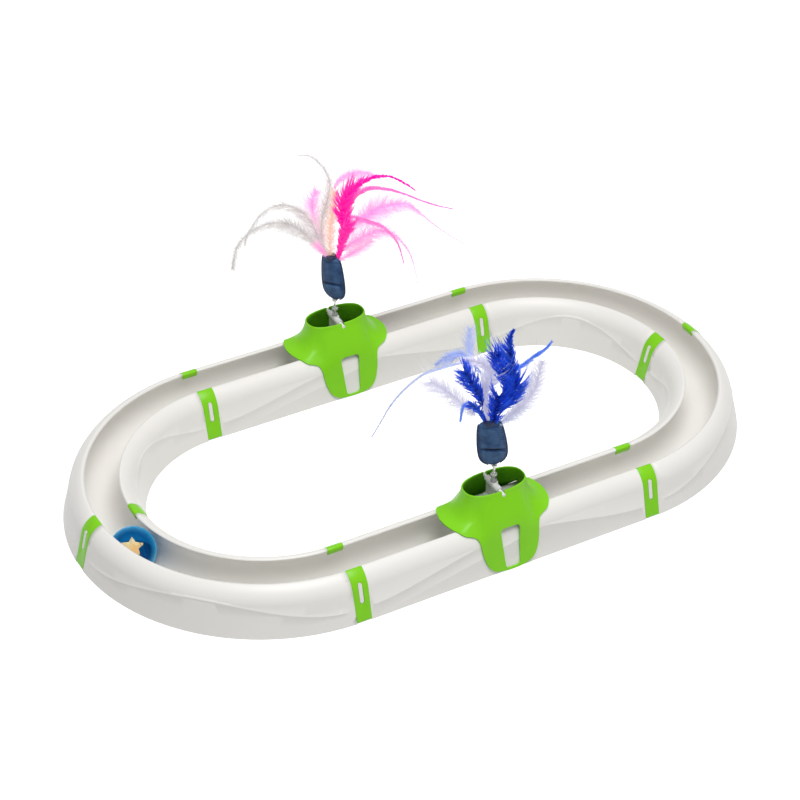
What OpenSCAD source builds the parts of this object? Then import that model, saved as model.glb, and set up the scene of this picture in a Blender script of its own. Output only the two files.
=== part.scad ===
// Cat ball track: a closed loop of channel in which a captive ball runs,
// with two feather rockers that the passing ball knocks to and fro.
// The origin is on the floor at the middle of the loop, X runs along the straights.

/* [Ball] */
// Diameter of the ball
ball_d = 40; // [34:1:43]
// Wall of the ball's two half shells
ball_wall = 1.6; // [1:0.1:3]
// Where the ball rests, as a turn about the left curve's centre from +X
ball_turn = 191; // [150:0.5:215]
// Play between the ball and the channel's floor
ball_play = 0.2; // [0.1:0.05:0.5]
// Level of the keel's top below the ball's centre
keel_drop = 4; // [3:0.5:9]
// Play between the keel and the shell
keel_play = 0.3; // [0.2:0.05:0.8]
// Radius of the star's points
star_r = 9.5; // [6:0.5:11]
// Thickness of the star
star_t = 3; // [2:0.5:5]

/* [Track] */
// Radius of the curves' centreline
curve_r = 140; // [110:5:180]
// Length of each straight segment
straight_len = 281; // [220:1:400]
// Play round the ball in the channel, on the radius
channel_play = 2; // [1:0.25:4]
// Height of the rims
track_h = 41.8; // [38:0.2:50]
// Distance of each rim's crest from the centreline
crest_off = 17.3; // [15:0.1:19]
// Radius of the lip that hangs over the channel
lip_r = 2.1; // [1.5:0.1:2.6]
// Radius of the outer shoulder
shoulder_r = 20; // [15:0.5:26]
// Lean of the outer skirt from upright
skirt_tilt = 13.9; // [10:0.1:16]
// Distance of the outer wall's foot from the centreline
foot_off = 35.4; // [32:0.2:42]
// Wall of the channel
channel_t = 1.5; // [1.2:0.1:2.5]
// Wall of the outer skirt
skirt_t = 2; // [1.5:0.1:3]
// Gap between the channel's underside and the floor
floor_gap = 0.3; // [0.2:0.1:1]

/* [Clips] */
// Width of a clip at the rim
clip_w = 14.4; // [10:0.2:20]
// Width of a clip at its foot
clip_foot_w = 13.4; // [9:0.2:20]
// Thickness of a clip
clip_t = 1; // [0.8:0.1:1.6]
// Play between a clip and its seat in the track
clip_play = 0.1; // [0.05:0.05:0.2]
// Depth of the clip's seat in the track
seat_depth = 0.9; // [0.5:0.1:1.2]
// How far a clip's hook hangs down into the channel
hook_drop = 4; // [2:0.25:5]
// How far the hook's end is set back towards the channel's wall
hook_set_back = 1.2; // [0.6:0.1:1.6]
// Height of a clip's foot above the floor
clip_lift = 1.4; // [0.3:0.1:4]
// Width of the window in a clip
clip_window_w = 4; // [3:0.1:6]
// Length of the window in a clip
clip_window_len = 19; // [12:0.5:24]
// Height of the window's middle above the floor
clip_window_mid = 25.7; // [20:0.1:28]
// Play of the track's rib in the window
rib_play = 0.3; // [0.2:0.05:0.6]
// Height of the rib above the skirt
rib_h = 0.9; // [0.5:0.1:1.4]

/* [Covers] */
// Height of the chimney's rim above the floor
chimney_h = 67; // [62:0.1:75]
// Half length of the chimney's opening along the track
chimney_half_len = 27.5; // [24:0.5:32]
// Half width of the chimney's opening across the track
chimney_half_w = 13.8; // [13:0.25:16]
// Wall of a cover
cover_t = 1.3; // [1.2:0.1:2]
// Play between a cover and the track
cover_play = 0.3; // [0.2:0.05:0.6]
// Half length of a cover from wing tip to wing tip
wing_half_len = 49; // [45:0.5:60]
// Half width of a wing, measured round the track's section
wing_half_w = 24; // [21:0.5:27]
// How far a wing's edge arches above the rims
wing_arch = 0.4; // [0.2:0.1:3]
// Half width of a leg
leg_half_w = 28.5; // [24:0.5:33]
// Height of a leg's foot above the floor
leg_lift = 0.5; // [0.3:0.1:4]
// Half width of the window in a cover's -Y leg
window_half_w = 9.2; // [6:0.2:12]
// Half width of the window's lower end
window_foot_half_w = 7; // [4:0.2:9]
// Height of the window's upper end
window_top = 39.5; // [36:0.5:44]
// Height of the window's lower end
window_bottom = 2.5; // [2:0.5:8]
// Radius of the window's corners
window_corner_r = 3.5; // [1:0.25:5]

/* [Rockers] */
// Diameter of the pivot bar
bar_d = 3.2; // [2.6:0.1:4]
// Length of the pivot bar
bar_len = 34; // [32:0.5:40]
// Depth of the bar's axis below the chimney's rim
bar_drop = 2.6; // [1.7:0.1:4]
// Running play of the bar in its notches, on the radius
bar_play = 0.08; // [0.05:0.01:0.1]
// Width of the paddle across the track
paddle_w = 20; // [14:0.5:24]
// Wall at each end of the weight
paddle_end_t = 1; // [0.6:0.1:2]
// Thickness of the paddle's blade
paddle_t = 2.2; // [1.5:0.1:3]
// Diameter of the paddle's hub
hub_d = 6; // [5:0.2:8]
// Radius of the paddle's foot
foot_r = 5.5; // [4.5:0.1:6.5]
// Distance from the bar down to the foot's lowest point
paddle_reach = 25; // [24:0.1:26]
// Diameter of the weight in the paddle's foot
weight_d = 9.6; // [6:0.2:10]
// Diameter of the clear stem
stem_d = 2.4; // [1.8:0.1:3.5]
// Outer diameter of the stem's rings
ring_d = 5.6; // [4.5:0.1:7]
// Height of a ring
ring_h = 1.4; // [1:0.1:2]
// Level of the upper ring above the bar
upper_ring_rise = 10; // [8:0.5:12]
// Height of the boss on the hub, above the bar
boss_rise = 3.4; // [3:0.1:5]
// Radius of the flange on which a pod sits
flange_r = 2.6; // [2.2:0.1:3.5]
// Thickness of the flange
flange_t = 1.2; // [0.8:0.1:2]

/* [Pods] */
// Height of a pod's lower tip above the floor
pod_bottom = 85.3; // [80:0.5:90]
// Height of a pod
pod_len = 45; // [38:0.5:55]
// Half width of a pod at its widest
pod_half_w = 11; // [9:0.2:15]
// Half thickness of a pod at its fullest
pod_half_t = 6.5; // [5:0.25:9]
// Radius of the piped edge
piping_r = 0.8; // [0.6:0.1:1.2]
// Play between the piping and the pod
piping_play = 0.15; // [0.1:0.05:0.4]
// Turn of the front pod about its stem
front_pod_turn = -22; // [-90:1:90]
// Turn of the back pod about its stem
back_pod_turn = -62; // [-90:1:90]
// Lean of the soft front pod to the left
front_pod_lean = 8; // [0:1:12]
// Lean of the soft back pod to the left
back_pod_lean = 4; // [0:1:12]
// Radius of the quill binding in the pod's mouth
binding_r = 5; // [4:0.25:6]
// Height of the quill binding
binding_h = 3; // [2:0.5:5]

/* [Feathers] */
// Lean of a bunch of feathers to the left
bunch_lean = 8; // [0:1:12]
// Longest reach of a feather from the pod's mouth
feather_reach = 100; // [80:5:120]
// Width of the widest feather
feather_w = 12; // [8:0.5:15]
// Thickness of a feather's vane
vane_t = 0.7; // [0.5:0.1:1]
// Thickness of a quill at its root
quill_d = 1.2; // [1:0.1:1.6]

/* [Hidden] */
half_straight = straight_len / 2;
fine = 96;
joint_turns = [0, 0, -90, 180, 180, 90];
joint_places = [
    [-half_straight, curve_r], [half_straight, curve_r], [half_straight + curve_r, 0],
    [half_straight, -curve_r], [-half_straight, -curve_r], [-half_straight - curve_r, 0],
];
joint_names = ["back_left", "back_right", "right", "front_right", "front_left", "left"];

// the channel's round floor and the points of the outer wall
channel_r = ball_d / 2 + channel_play;
channel_z = floor_gap + channel_t + channel_r;
skirt_out = [cos(skirt_tilt), sin(skirt_tilt)];
skirt_dir = [-sin(skirt_tilt), cos(skirt_tilt)];
crest = [crest_off, track_h];
skirt_foot = [foot_off, 0];
skirt_turn = 90 - skirt_tilt;
crest_turn = skirt_turn - acos(1 - skirt_out * (skirt_foot - crest) / shoulder_r);
crest_out = [sin(crest_turn), cos(crest_turn)];
shoulder = crest - shoulder_r * crest_out;
shoulder_end = shoulder + shoulder_r * skirt_out;
shoulder_arc = shoulder_r * (skirt_turn - crest_turn) * PI / 180;
lip = crest - lip_r * crest_out;
arc_steps = 14;
overrun = 1;

// the ball
ball_r = ball_d / 2;
ball_z = floor_gap + channel_t + ball_play + ball_r;
keel_r = ball_r - ball_wall - keel_play;
star_turn = -130.5;
star_waist_share = 0.5;
star_rise_share = 0.38;

// the clips and the ribs that they catch
clip_under = clip_play - seat_depth;
clip_outer = clip_under + clip_t;
// where the seat ends round the lip, behind the hook's root
seat_end = -205;
window_mid = shoulder_end - skirt_dir * (shoulder_end[1] - clip_window_mid) / skirt_dir[1];

// the covers, drawn as rings of points from the chimney's rim to the lower edge
cover_rings = 8;
edge_steps = 2;
lift_power = 2.2;
spread_power = 1.35;
oval_power = 2.5;
leg_foot_girth = crest_off + shoulder_arc + (shoulder_end[1] - leg_lift) / skirt_dir[1];
// corners of a quarter of the lower edge: how far out along the wing, how wide on the leg,
// how far round to the wing's side, how far on down to the leg's foot
edge_shares = [
    [1, 1, 0, 0], [0.98, 1, 0.22, 0], [0.85, 1, 0.59, 0], [0.58, 1, 0.91, 0], [0.3, 1, 1.01, 0.01],
    [0.1, 1, 1.01, 0.07], [0, 0.99, 1, 0.21], [0, 0.94, 1, 0.48], [0, 0.82, 1, 0.76],
    [0, 0.63, 1, 0.92], [0, 0.33, 1, 0.985], [0, 0, 1, 1],
];

// the rockers
bar_z = chimney_h - bar_drop;
foot_z = bar_z - paddle_reach + foot_r;
hub_top = bar_z + boss_rise;
weight_len = paddle_w - 2 * paddle_end_t;
notch_squeeze_share = 0.9;

// the pods: half width and half thickness from the lower tip to the mouth
pod_outline_shares = [
    [0, 0.12, 0.2], [0.03, 0.36, 0.36], [0.07, 0.56, 0.5], [0.12, 0.72, 0.62], [0.18, 0.85, 0.76],
    [0.27, 0.95, 0.9], [0.4, 1, 1], [0.55, 0.99, 1], [0.7, 0.95, 0.92], [0.85, 0.88, 0.8],
    [0.95, 0.81, 0.7], [1, 0.76, 0.64],
];
pod_sides = 20;
piping_sides = 6;
// the point of the outline, counted from the tip, at which the piping stops beside the flange
piping_end = 1;

// feathers: turn about the stem from +X, reach and rise of the tip, reach and rise of the bow,
// and width, each a share of the longest reach or of the widest vane
hot_pink_shares = [
    [-29, 0.83, 0.67, 0.2, 1.16, 1.1], [-44, 1.12, 0.45, 0.43, 1.05, 0.5],
    [-6, 0.62, -0.05, 0.45, 0.85, 0.5], [-65, 0.3, 0.6, 0.08, 0.5, 1],
];
pale_pink_shares = [
    [-17, 1.28, 0.02, 0.65, 0.91, 0.8], [-62, 0.7, -0.3, 0.5, 0.75, 0.9],
    [60, 0.3, 0.6, 0.12, 0.45, 1.1], [150, 0.12, 0.7, 0.02, 0.4, 1.1],
];
white_shares = [
    [100, 0.17, 1.15, -0.1, 0.6, 0.8], [165, 0.76, 0.22, 0.45, 0.85, 0.9],
    [180, 0.96, 0.36, 0.5, 1.05, 0.8], [-120, 0.45, 0.35, 0.2, 0.6, 1],
];
royal_blue_shares = [
    [-8, 0.27, 0.88, 0.08, 0.55, 1.2], [-55, 0.28, 0.32, 0.1, 0.3, 1.1],
    [158, 0.2, 0.55, 0.04, 0.35, 1], [-170, 0.24, 0.25, 0.1, 0.25, 1],
];
light_blue_shares = [
    [124, 0.36, 0.7, 0.06, 0.6, 0.9], [-28, 0.54, 0.72, 0.22, 0.5, 0.5],
    [60, 0.35, 0.4, 0.12, 0.35, 1], [-110, 0.3, 0.35, 0.1, 0.35, 1],
];
ivory_shares = [
    [151, 0.97, -0.07, 0.6, 1.05, 0.6], [-20, 0.82, 0.5, 0.4, 0.6, 0.8],
    [80, 0.12, 0.8, 0.02, 0.5, 1.2], [-135, 0.45, 0.3, 0.25, 0.5, 0.9],
];
// how far out on the binding the quills stand
inner_share = 0.3;
outer_share = 0.84;
// how far along a feather its bare quill reaches
quill_share = 0.2;
// how wide a vane is along its length, from the root to the tip
vane_shares = [[0, 0.1], [0.12, 0.14], [0.26, 0.3], [0.42, 0.8], [0.6, 1], [0.8, 0.66], [0.93, 0.3], [1, 0.08]];

// a point on the outer wall's section, at a distance round it from the centreline and
// at a height above its surface
function section_point(girth, above) =
    let (ridge = crest + above * crest_out)
    girth <= crest_off
    ? [ridge[0] * girth / crest_off, ridge[1] + wing_arch * (1 - pow(girth / crest_off, 2))]
    : girth <= crest_off + shoulder_arc
    ? let (turn = crest_turn + (girth - crest_off) / shoulder_r * 180 / PI)
        shoulder + (shoulder_r + above) * [sin(turn), cos(turn)]
    : shoulder_end + above * skirt_out - skirt_dir * (girth - crest_off - shoulder_arc);

function spline(a, b, c, d, t) =
    0.5 * (2 * b + (c - a) * t + (2 * a - 5 * b + 4 * c - d) * t * t
        + (3 * b - a - 3 * c + d) * t * t * t);

// points up the skirt and over the shoulder to the crest, at a distance from the track's skin
function shoulder_path(above, low) =
    let (foot = shoulder_end + above * skirt_out) concat(
        [foot - skirt_dir * (foot[1] - low) / skirt_dir[1]],
        [for (i = [0:arc_steps]) let (turn = skirt_turn + (crest_turn - skirt_turn) * i / arc_steps)
            shoulder + (shoulder_r + above) * [sin(turn), cos(turn)]]
    );

// the same points, and on from the crest round the lip
function skin_path(above, low, lip_end) = concat(
    shoulder_path(above, low),
    [for (i = [1:arc_steps]) let (turn = crest_turn + (lip_end - crest_turn) * i / arc_steps)
        lip + (lip_r + above) * [sin(turn), cos(turn)]]
);

function reversed(path) = [for (i = [len(path) - 1:-1:0]) path[i]];
function both_sides(path) = concat(path, [for (point = reversed(path)) [-point[0], point[1]]]);

module track_section() {
    difference() {
        polygon(both_sides(concat(skin_path(0, 0, -180), [[lip[0], channel_z]])));
        translate([0, channel_z]) circle(channel_r, $fn = fine);
        difference() {
            polygon(both_sides(shoulder_path(-skirt_t, -overrun)));
            translate([0, channel_z]) circle(channel_r + channel_t, $fn = fine);
        }
    }
}

// the pill that stands on the skirt at a seam, or the hole for it in a clip
module seam_pill(side, w, len, out, sink) {
    translate([0, side * window_mid[0], window_mid[1]]) rotate([-side * skirt_turn, 0, 0]) {
        for (end = [1, -1]) translate([0, end * (len - w) / 2, -sink])
            cylinder(d = w, h = out + sink, $fn = fine);
        translate([-w / 2, -(len - w) / 2, -sink]) cube([w, len - w, out + sink]);
    }
}

module half_ribs(half) {
    intersection() {
        for (side = [1, -1]) seam_pill(
            side, clip_window_w - 2 * rib_play, clip_window_len - 2 * rib_play, rib_h - seat_depth,
            seat_depth + skirt_t / 4);
        translate([half > 0 ? 0 : -clip_w, -2 * foot_off, 0]) cube([clip_w, 4 * foot_off, track_h]);
    }
}

module at_joint(index) {
    translate([joint_places[index][0], joint_places[index][1], 0])
        rotate([0, 0, joint_turns[index]]) children();
}

// a band over the skirt and the crest on one side of a joint, narrower at its foot
module joint_band(side, w, foot_w) {
    intersection() {
        rotate([90, 0, 90]) linear_extrude(2 * w, center = true) mirror([side > 0 ? 0 : 1, 0]) children();
        rotate([90, 0, 0]) linear_extrude(4 * foot_off, center = true) polygon([
            [-foot_w / 2, -2 * overrun], [foot_w / 2, -2 * overrun], [w / 2, track_h + 2 * lip_r],
            [-w / 2, track_h + 2 * lip_r],
        ]);
    }
}

module seat_section() {
    polygon(concat(skin_path(overrun, -overrun, seat_end), reversed(skin_path(-seat_depth, -overrun, seat_end))));
}

module clip_section() {
    hook = lip + [hook_set_back, -hook_drop];
    polygon(concat(
        skin_path(clip_outer, clip_lift, -90),
        [hook - [lip_r + clip_outer, 0], hook - [lip_r + clip_under, 0]],
        reversed(skin_path(clip_under, clip_lift, -90))
    ));
}

module seats(index) {
    at_joint(index) for (side = [1, -1])
        joint_band(side, clip_w + 2 * clip_play, clip_foot_w + 2 * clip_play) seat_section();
}

module track_straight(side) {
    joints = side > 0 ? [0, 1] : [3, 4];
    color([0.87, 0.86, 0.84]) {
        difference() {
            translate([0, side * curve_r, 0]) rotate([90, 0, 90])
                linear_extrude(straight_len, center = true) track_section();
            for (index = joints) seats(index);
        }
        for (end = [1, -1]) translate([end * half_straight, side * curve_r, 0]) half_ribs(-end);
    }
}

module track_curve(side, start, joints) {
    color([0.87, 0.86, 0.84]) {
        difference() {
            translate([side * half_straight, 0, 0]) rotate([0, 0, start])
                rotate_extrude(angle = 90, $fn = fine) translate([curve_r, 0]) track_section();
            for (index = joints) seats(index);
        }
        at_joint(joints[0]) half_ribs(-1);
        at_joint(joints[1]) half_ribs(1);
    }
}

module clip(index, side) {
    color([0.47, 0.76, 0.17]) at_joint(index) difference() {
        joint_band(side, clip_w, clip_foot_w) clip_section();
        seam_pill(side, clip_window_w, clip_window_len, clip_t + overrun, seat_depth + overrun);
    }
}

// the lower edge of a cover: distance along the track and round its section
function edge_corner(index) =
    let (s = edge_shares[index < 0 ? -index : index >= len(edge_shares) ? 2 * len(edge_shares) - 2 - index : index],
        mirrored_x = index >= len(edge_shares) ? -1 : 1, mirrored_g = index < 0 ? -1 : 1)
        [mirrored_x * (leg_half_w * s[1] + (wing_half_len - leg_half_w) * s[0]),
            mirrored_g * (wing_half_w * s[2] + (leg_foot_girth - wing_half_w) * s[3])];

quarter_columns = (len(edge_shares) - 1) * edge_steps;
function edge_point(column) =
    let (i = min(floor(column / edge_steps), len(edge_shares) - 2), t = column / edge_steps - i)
        spline(edge_corner(i - 1), edge_corner(i), edge_corner(i + 1), edge_corner(i + 2), t);

function rim_point(column, grow) =
    let (turn = 90 * column / quarter_columns, power = 2 / oval_power)
        [(chimney_half_len + grow) * pow(max(cos(turn), 0), power),
            (chimney_half_w + grow) * pow(max(sin(turn), 0), power)];

// a point of a cover's skin in one quarter, from the rim (0) to the lower edge (1)
function skin_point(column, t, above, grow) =
    let (edge = edge_point(column), rim = rim_point(column, grow),
        spread = pow(t, spread_power), lift = pow(1 - t, lift_power),
        girth = rim[1] + (edge[1] - rim[1]) * spread,
        place = section_point(girth, above),
        rim_place = section_point(rim[1], above))
        [rim[0] + (edge[0] - rim[0]) * spread, place[0],
            place[1] + (chimney_h - rim_place[1]) * lift];

function skin_ring(t, above, grow) = [
    for (quarter = [0:3], step = [0:quarter_columns - 1])
        let (turned = quarter % 2 == 1,
            p = skin_point(turned ? quarter_columns - step : step, t, above, grow))
            [(quarter == 1 || quarter == 2 ? -1 : 1) * p[0], (quarter > 1 ? -1 : 1) * p[1], p[2]]
];

module cover_shell() {
    count = 4 * quarter_columns;
    rings = concat(
        [for (i = [0:cover_rings]) skin_ring(i / cover_rings, cover_play + cover_t, cover_t)],
        [for (i = [cover_rings:-1:0]) skin_ring(i / cover_rings, cover_play, 0)]
    );
    total = len(rings);
    points = [for (ring = rings, p = ring) p];
    faces = [for (i = [0:total - 1], j = [0:count - 1])
        let (a = i * count + j, b = i * count + (j + 1) % count,
            c = ((i + 1) % total) * count + (j + 1) % count, d = ((i + 1) % total) * count + j)
            each [[a, b, c], [a, c, d]]];
    polyhedron(points, faces, convexity = 6);
}

module cover(side) {
    color([0.5, 0.79, 0.19]) translate([0, side * curve_r, 0]) difference() {
        cover_shell();
        translate([0, 0, bar_z]) rotate([90, 0, 0])
            cylinder(r = bar_d / 2 + bar_play, h = 4 * chimney_half_w, center = true, $fn = fine);
        translate([-notch_squeeze_share * bar_d / 2, -2 * chimney_half_w, bar_z])
            cube([notch_squeeze_share * bar_d, 4 * chimney_half_w, 2 * bar_drop]);
        // only the leg on the -Y side has a window
        translate([0, -foot_off, 0]) rotate([90, 0, 0])
            linear_extrude(2 * crest_off, center = true) leg_window();
    }
}

module leg_window() {
    r = window_corner_r;
    hull() for (side = [1, -1]) {
        translate([side * (window_half_w - r), window_top - r]) circle(r, $fn = 32);
        translate([side * (window_half_w - r), (window_top + window_bottom) / 2]) circle(r, $fn = 32);
        translate([side * (window_foot_half_w - r), window_bottom + r]) circle(r, $fn = 32);
    }
}

module at_ball() {
    translate([-half_straight + curve_r * cos(ball_turn), curve_r * sin(ball_turn), ball_z])
        rotate([0, 0, ball_turn - 90]) children();
}

module ball_shell(side) {
    color([0.1, 0.5, 0.8, 0.4]) at_ball() difference() {
        sphere(ball_r, $fn = fine);
        sphere(ball_r - ball_wall, $fn = fine);
        translate([-ball_d, side > 0 ? -2 * ball_d : 0, -ball_d]) cube(2 * ball_d);
    }
}

module ball_keel() {
    color([0.0, 0.25, 0.45]) at_ball() intersection() {
        sphere(keel_r, $fn = fine);
        translate([-ball_d, -ball_d, -keel_drop - 2 * ball_d]) cube(2 * ball_d);
    }
}

module ball_star() {
    color([0.95, 0.6, 0.25]) at_ball() rotate([0, 0, star_turn]) rotate([90, 0, 0]) intersection() {
        translate([0, star_rise_share * star_r]) linear_extrude(star_t, center = true) polygon([
            for (i = [0:9]) let (r = i % 2 == 0 ? star_r : star_waist_share * star_r)
                [r * sin(36 * i), r * cos(36 * i)]
        ]);
        translate([-star_r, -keel_drop, -star_t]) cube([2 * star_r, 4 * star_r, 2 * star_t]);
    }
}

module at_rocker(side) {
    translate([0, side * curve_r, 0]) children();
}

module pivot_bar(side) {
    color([0.95, 0.95, 0.93]) at_rocker(side) translate([0, 0, bar_z]) rotate([90, 0, 0])
        cylinder(d = bar_d, h = bar_len, center = true, $fn = fine);
}

module paddle(side) {
    color([0.85, 0.87, 0.85, 0.6]) at_rocker(side) difference() {
        union() {
            translate([-paddle_t / 2, -paddle_w / 2, foot_z]) cube([paddle_t, paddle_w, bar_z - foot_z]);
            translate([0, 0, bar_z]) rotate([90, 0, 0])
                cylinder(d = hub_d, h = paddle_w, center = true, $fn = fine);
            translate([-ring_d / 2, -ring_d / 2, bar_z]) cube([ring_d, ring_d, hub_top - bar_z]);
            translate([0, 0, foot_z]) rotate([90, 0, 0])
                cylinder(r = foot_r, h = paddle_w, center = true, $fn = fine);
        }
        translate([0, 0, bar_z]) rotate([90, 0, 0])
            cylinder(d = bar_d, h = 2 * paddle_w, center = true, $fn = fine);
        translate([0, 0, foot_z]) rotate([90, 0, 0])
            cylinder(d = weight_d, h = weight_len, center = true, $fn = fine);
    }
}

module paddle_weight(side) {
    color([0.6, 0.6, 0.62]) at_rocker(side) translate([0, 0, foot_z]) rotate([90, 0, 0])
        cylinder(d = weight_d, h = weight_len, center = true, $fn = fine);
}

function pod_lean(side) = side > 0 ? back_pod_lean : front_pod_lean;

module at_pod(side) {
    translate([0, side * curve_r, pod_bottom]) rotate([0, -pod_lean(side), 0]) children();
}

module stem(side) {
    color([0.9, 0.92, 0.92, 0.5]) {
        at_rocker(side) {
            translate([0, 0, hub_top]) cylinder(d = stem_d, h = pod_bottom - flange_t / 2 - hub_top, $fn = fine);
            translate([0, 0, hub_top]) cylinder(d = ring_d, h = ring_h, $fn = fine);
            translate([0, 0, bar_z + upper_ring_rise]) cylinder(d = ring_d, h = ring_h, $fn = fine);
        }
        at_pod(side) translate([0, 0, -flange_t]) cylinder(r = flange_r, h = flange_t, $fn = fine);
    }
}

function pod_ring(share) = [
    for (k = [0:pod_sides - 1]) let (turn = 360 * k / pod_sides)
        [pod_half_w * share[1] * cos(turn),
            pod_half_t * share[2] * sin(turn) * sqrt(abs(sin(turn))),
            pod_len * share[0]]
];

module pod(side) {
    rings = [for (share = pod_outline_shares) pod_ring(share)];
    last = len(rings) - 1;
    points = concat(
        [for (ring = rings, p = ring) p], [[0, 0, 0], [0, 0, pod_len]]
    );
    foot = (last + 1) * pod_sides;
    faces = concat(
        [for (i = [0:last - 1], k = [0:pod_sides - 1])
            let (a = i * pod_sides + k, b = i * pod_sides + (k + 1) % pod_sides)
                each [[a, a + pod_sides, b + pod_sides], [a, b + pod_sides, b]]],
        [for (k = [0:pod_sides - 1]) [foot, k, (k + 1) % pod_sides]],
        [for (k = [0:pod_sides - 1])
            [foot + 1, last * pod_sides + (k + 1) % pod_sides, last * pod_sides + k]]
    );
    color([0.3, 0.38, 0.52]) at_pod(side) rotate([0, 0, side > 0 ? back_pod_turn : front_pod_turn])
        polyhedron(points, faces, convexity = 4);
}

// a cord on each side follows the pod's outline from the mouth's corner to near the flange
function pod_edge(i) = [-pod_half_w * pod_outline_shares[i][1], pod_len * pod_outline_shares[i][0]];

module pod_piping(side) {
    off = piping_r + piping_play;
    path = [for (i = [len(pod_outline_shares) - 1:-1:piping_end]) pod_edge(i)];
    last = len(path) - 1;
    rings = [for (k = [0:last])
        let (way = path[min(k + 1, last)] - path[max(k - 1, 0)], dir = way / norm(way),
            out = [dir[1], -dir[0]])
            [for (m = [0:piping_sides - 1]) let (turn = 360 * m / piping_sides)
                let (q = path[k] + out * (off + piping_r * cos(turn)))
                    [q[0], piping_r * sin(turn), q[1]]]];
    points = [for (ring = rings, p = ring) p];
    faces = concat(
        [for (i = [0:last - 1], m = [0:piping_sides - 1])
            let (a = i * piping_sides + m, b = i * piping_sides + (m + 1) % piping_sides)
                each [[a, a + piping_sides, b + piping_sides], [a, b + piping_sides, b]]],
        [[for (m = [0:piping_sides - 1]) m], [for (m = [piping_sides - 1:-1:0]) last * piping_sides + m]]
    );
    color([0.16, 0.2, 0.32]) at_pod(side) rotate([0, 0, side > 0 ? back_pod_turn : front_pod_turn])
        for (hand = [0, 1]) mirror([hand, 0, 0]) polyhedron(points, faces, convexity = 6);
}

module quill_binding(side) {
    color([0.8, 0.78, 0.76]) at_pod(side) translate([0, 0, pod_len])
        cylinder(r = binding_r, h = binding_h, $fn = fine);
}

// one feather: a thin curved blade from the binding's top
module feather(share, root) {
    turn = share[0];
    tip = feather_reach * [share[1], share[2]];
    bow = feather_reach * [share[3], share[4]];
    count = len(vane_shares);
    points = [for (v = vane_shares)
        let (t = v[0], p = 2 * t * (1 - t) * bow + t * t * tip,
            way = 2 * (1 - t) * bow + 2 * t * (tip - bow), dir = way / norm(way),
            half_w = max(v[1] * feather_w * share[5] / 2, quill_d / 2),
            half_t = t < quill_share ? quill_d / 2 : vane_t / 2)
            each [for (c = [[1, 0], [0, 1], [-1, 0], [0, -1]])
                t == 0
                ? [root[0] + c[0] * half_t * sin(turn) + c[1] * half_t * cos(turn),
                    root[1] - c[0] * half_t * cos(turn) + c[1] * half_t * sin(turn), 0]
                : [root[0] + (p[0] + c[1] * half_t * dir[1]) * cos(turn) + c[0] * half_w * sin(turn),
                    root[1] + (p[0] + c[1] * half_t * dir[1]) * sin(turn) - c[0] * half_w * cos(turn),
                    p[1] - c[1] * half_t * dir[0]]]];
    faces = concat(
        [for (i = [0:count - 2], k = [0:3]) let (a = 4 * i + k, b = 4 * i + (k + 1) % 4)
            each [[a, b + 4, b], [a, a + 4, b + 4]]],
        [[0, 1, 2, 3], [for (k = [3:-1:0]) 4 * (count - 1) + k]]
    );
    polyhedron(points, faces, convexity = 4);
}

// the steeper a feather, the nearer the middle of the binding its quill stands; a bunch that
// leans more than its pod stands just clear of the binding at its lower side
module feathers(side, shares) {
    tilt = pod_lean(side) - bunch_lean;
    lift = (binding_r * outer_share + quill_d / 2) * abs(sin(tilt));
    at_pod(side) translate([0, 0, pod_len + binding_h + lift]) rotate([0, tilt, 0]) for (share = shares)
        let (out = binding_r * (inner_share + (outer_share - inner_share) * min(share[1], 1)))
            feather(share, out * [cos(share[0]), sin(share[0])]);
}

track_straight(-1);  // track_straight_front
track_straight(1);  // track_straight_back
track_curve(-1, 90, [0, 5]);  // track_curve_back_left
track_curve(-1, 180, [5, 4]);  // track_curve_front_left
track_curve(1, 270, [3, 2]);  // track_curve_front_right
track_curve(1, 0, [2, 1]);  // track_curve_back_right
for (i = [0:5]) {
    clip(i, 1);
    clip(i, -1);
}
cover(-1);  // cover_front
cover(1);  // cover_back
ball_shell(1);  // ball_shell_outer
ball_shell(-1);  // ball_shell_inner
ball_keel();
ball_star();
pivot_bar(-1);  // pivot_bar_front
pivot_bar(1);  // pivot_bar_back
paddle(-1);  // paddle_front
paddle(1);  // paddle_back
paddle_weight(-1);  // paddle_weight_front
paddle_weight(1);  // paddle_weight_back
stem(-1);  // stem_front
stem(1);  // stem_back
pod(-1);  // pod_front
pod(1);  // pod_back
pod_piping(-1);  // pod_piping_front
pod_piping(1);  // pod_piping_back
quill_binding(-1);  // quill_binding_front
quill_binding(1);  // quill_binding_back
color([0.05, 0.15, 0.75]) feathers(-1, royal_blue_shares);  // feathers_royal_blue
color([0.62, 0.72, 0.95]) feathers(-1, light_blue_shares);  // feathers_light_blue
color([0.9, 0.89, 0.93]) feathers(-1, ivory_shares);  // feathers_ivory
color([1, 0.1, 0.75]) feathers(1, hot_pink_shares);  // feathers_hot_pink
color([1, 0.75, 0.92]) feathers(1, pale_pink_shares);  // feathers_pale_pink
color([0.93, 0.93, 0.93]) feathers(1, white_shares);  // feathers_white
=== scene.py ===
import math
import random

import bmesh
import bpy
from mathutils import Matrix, Vector


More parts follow.
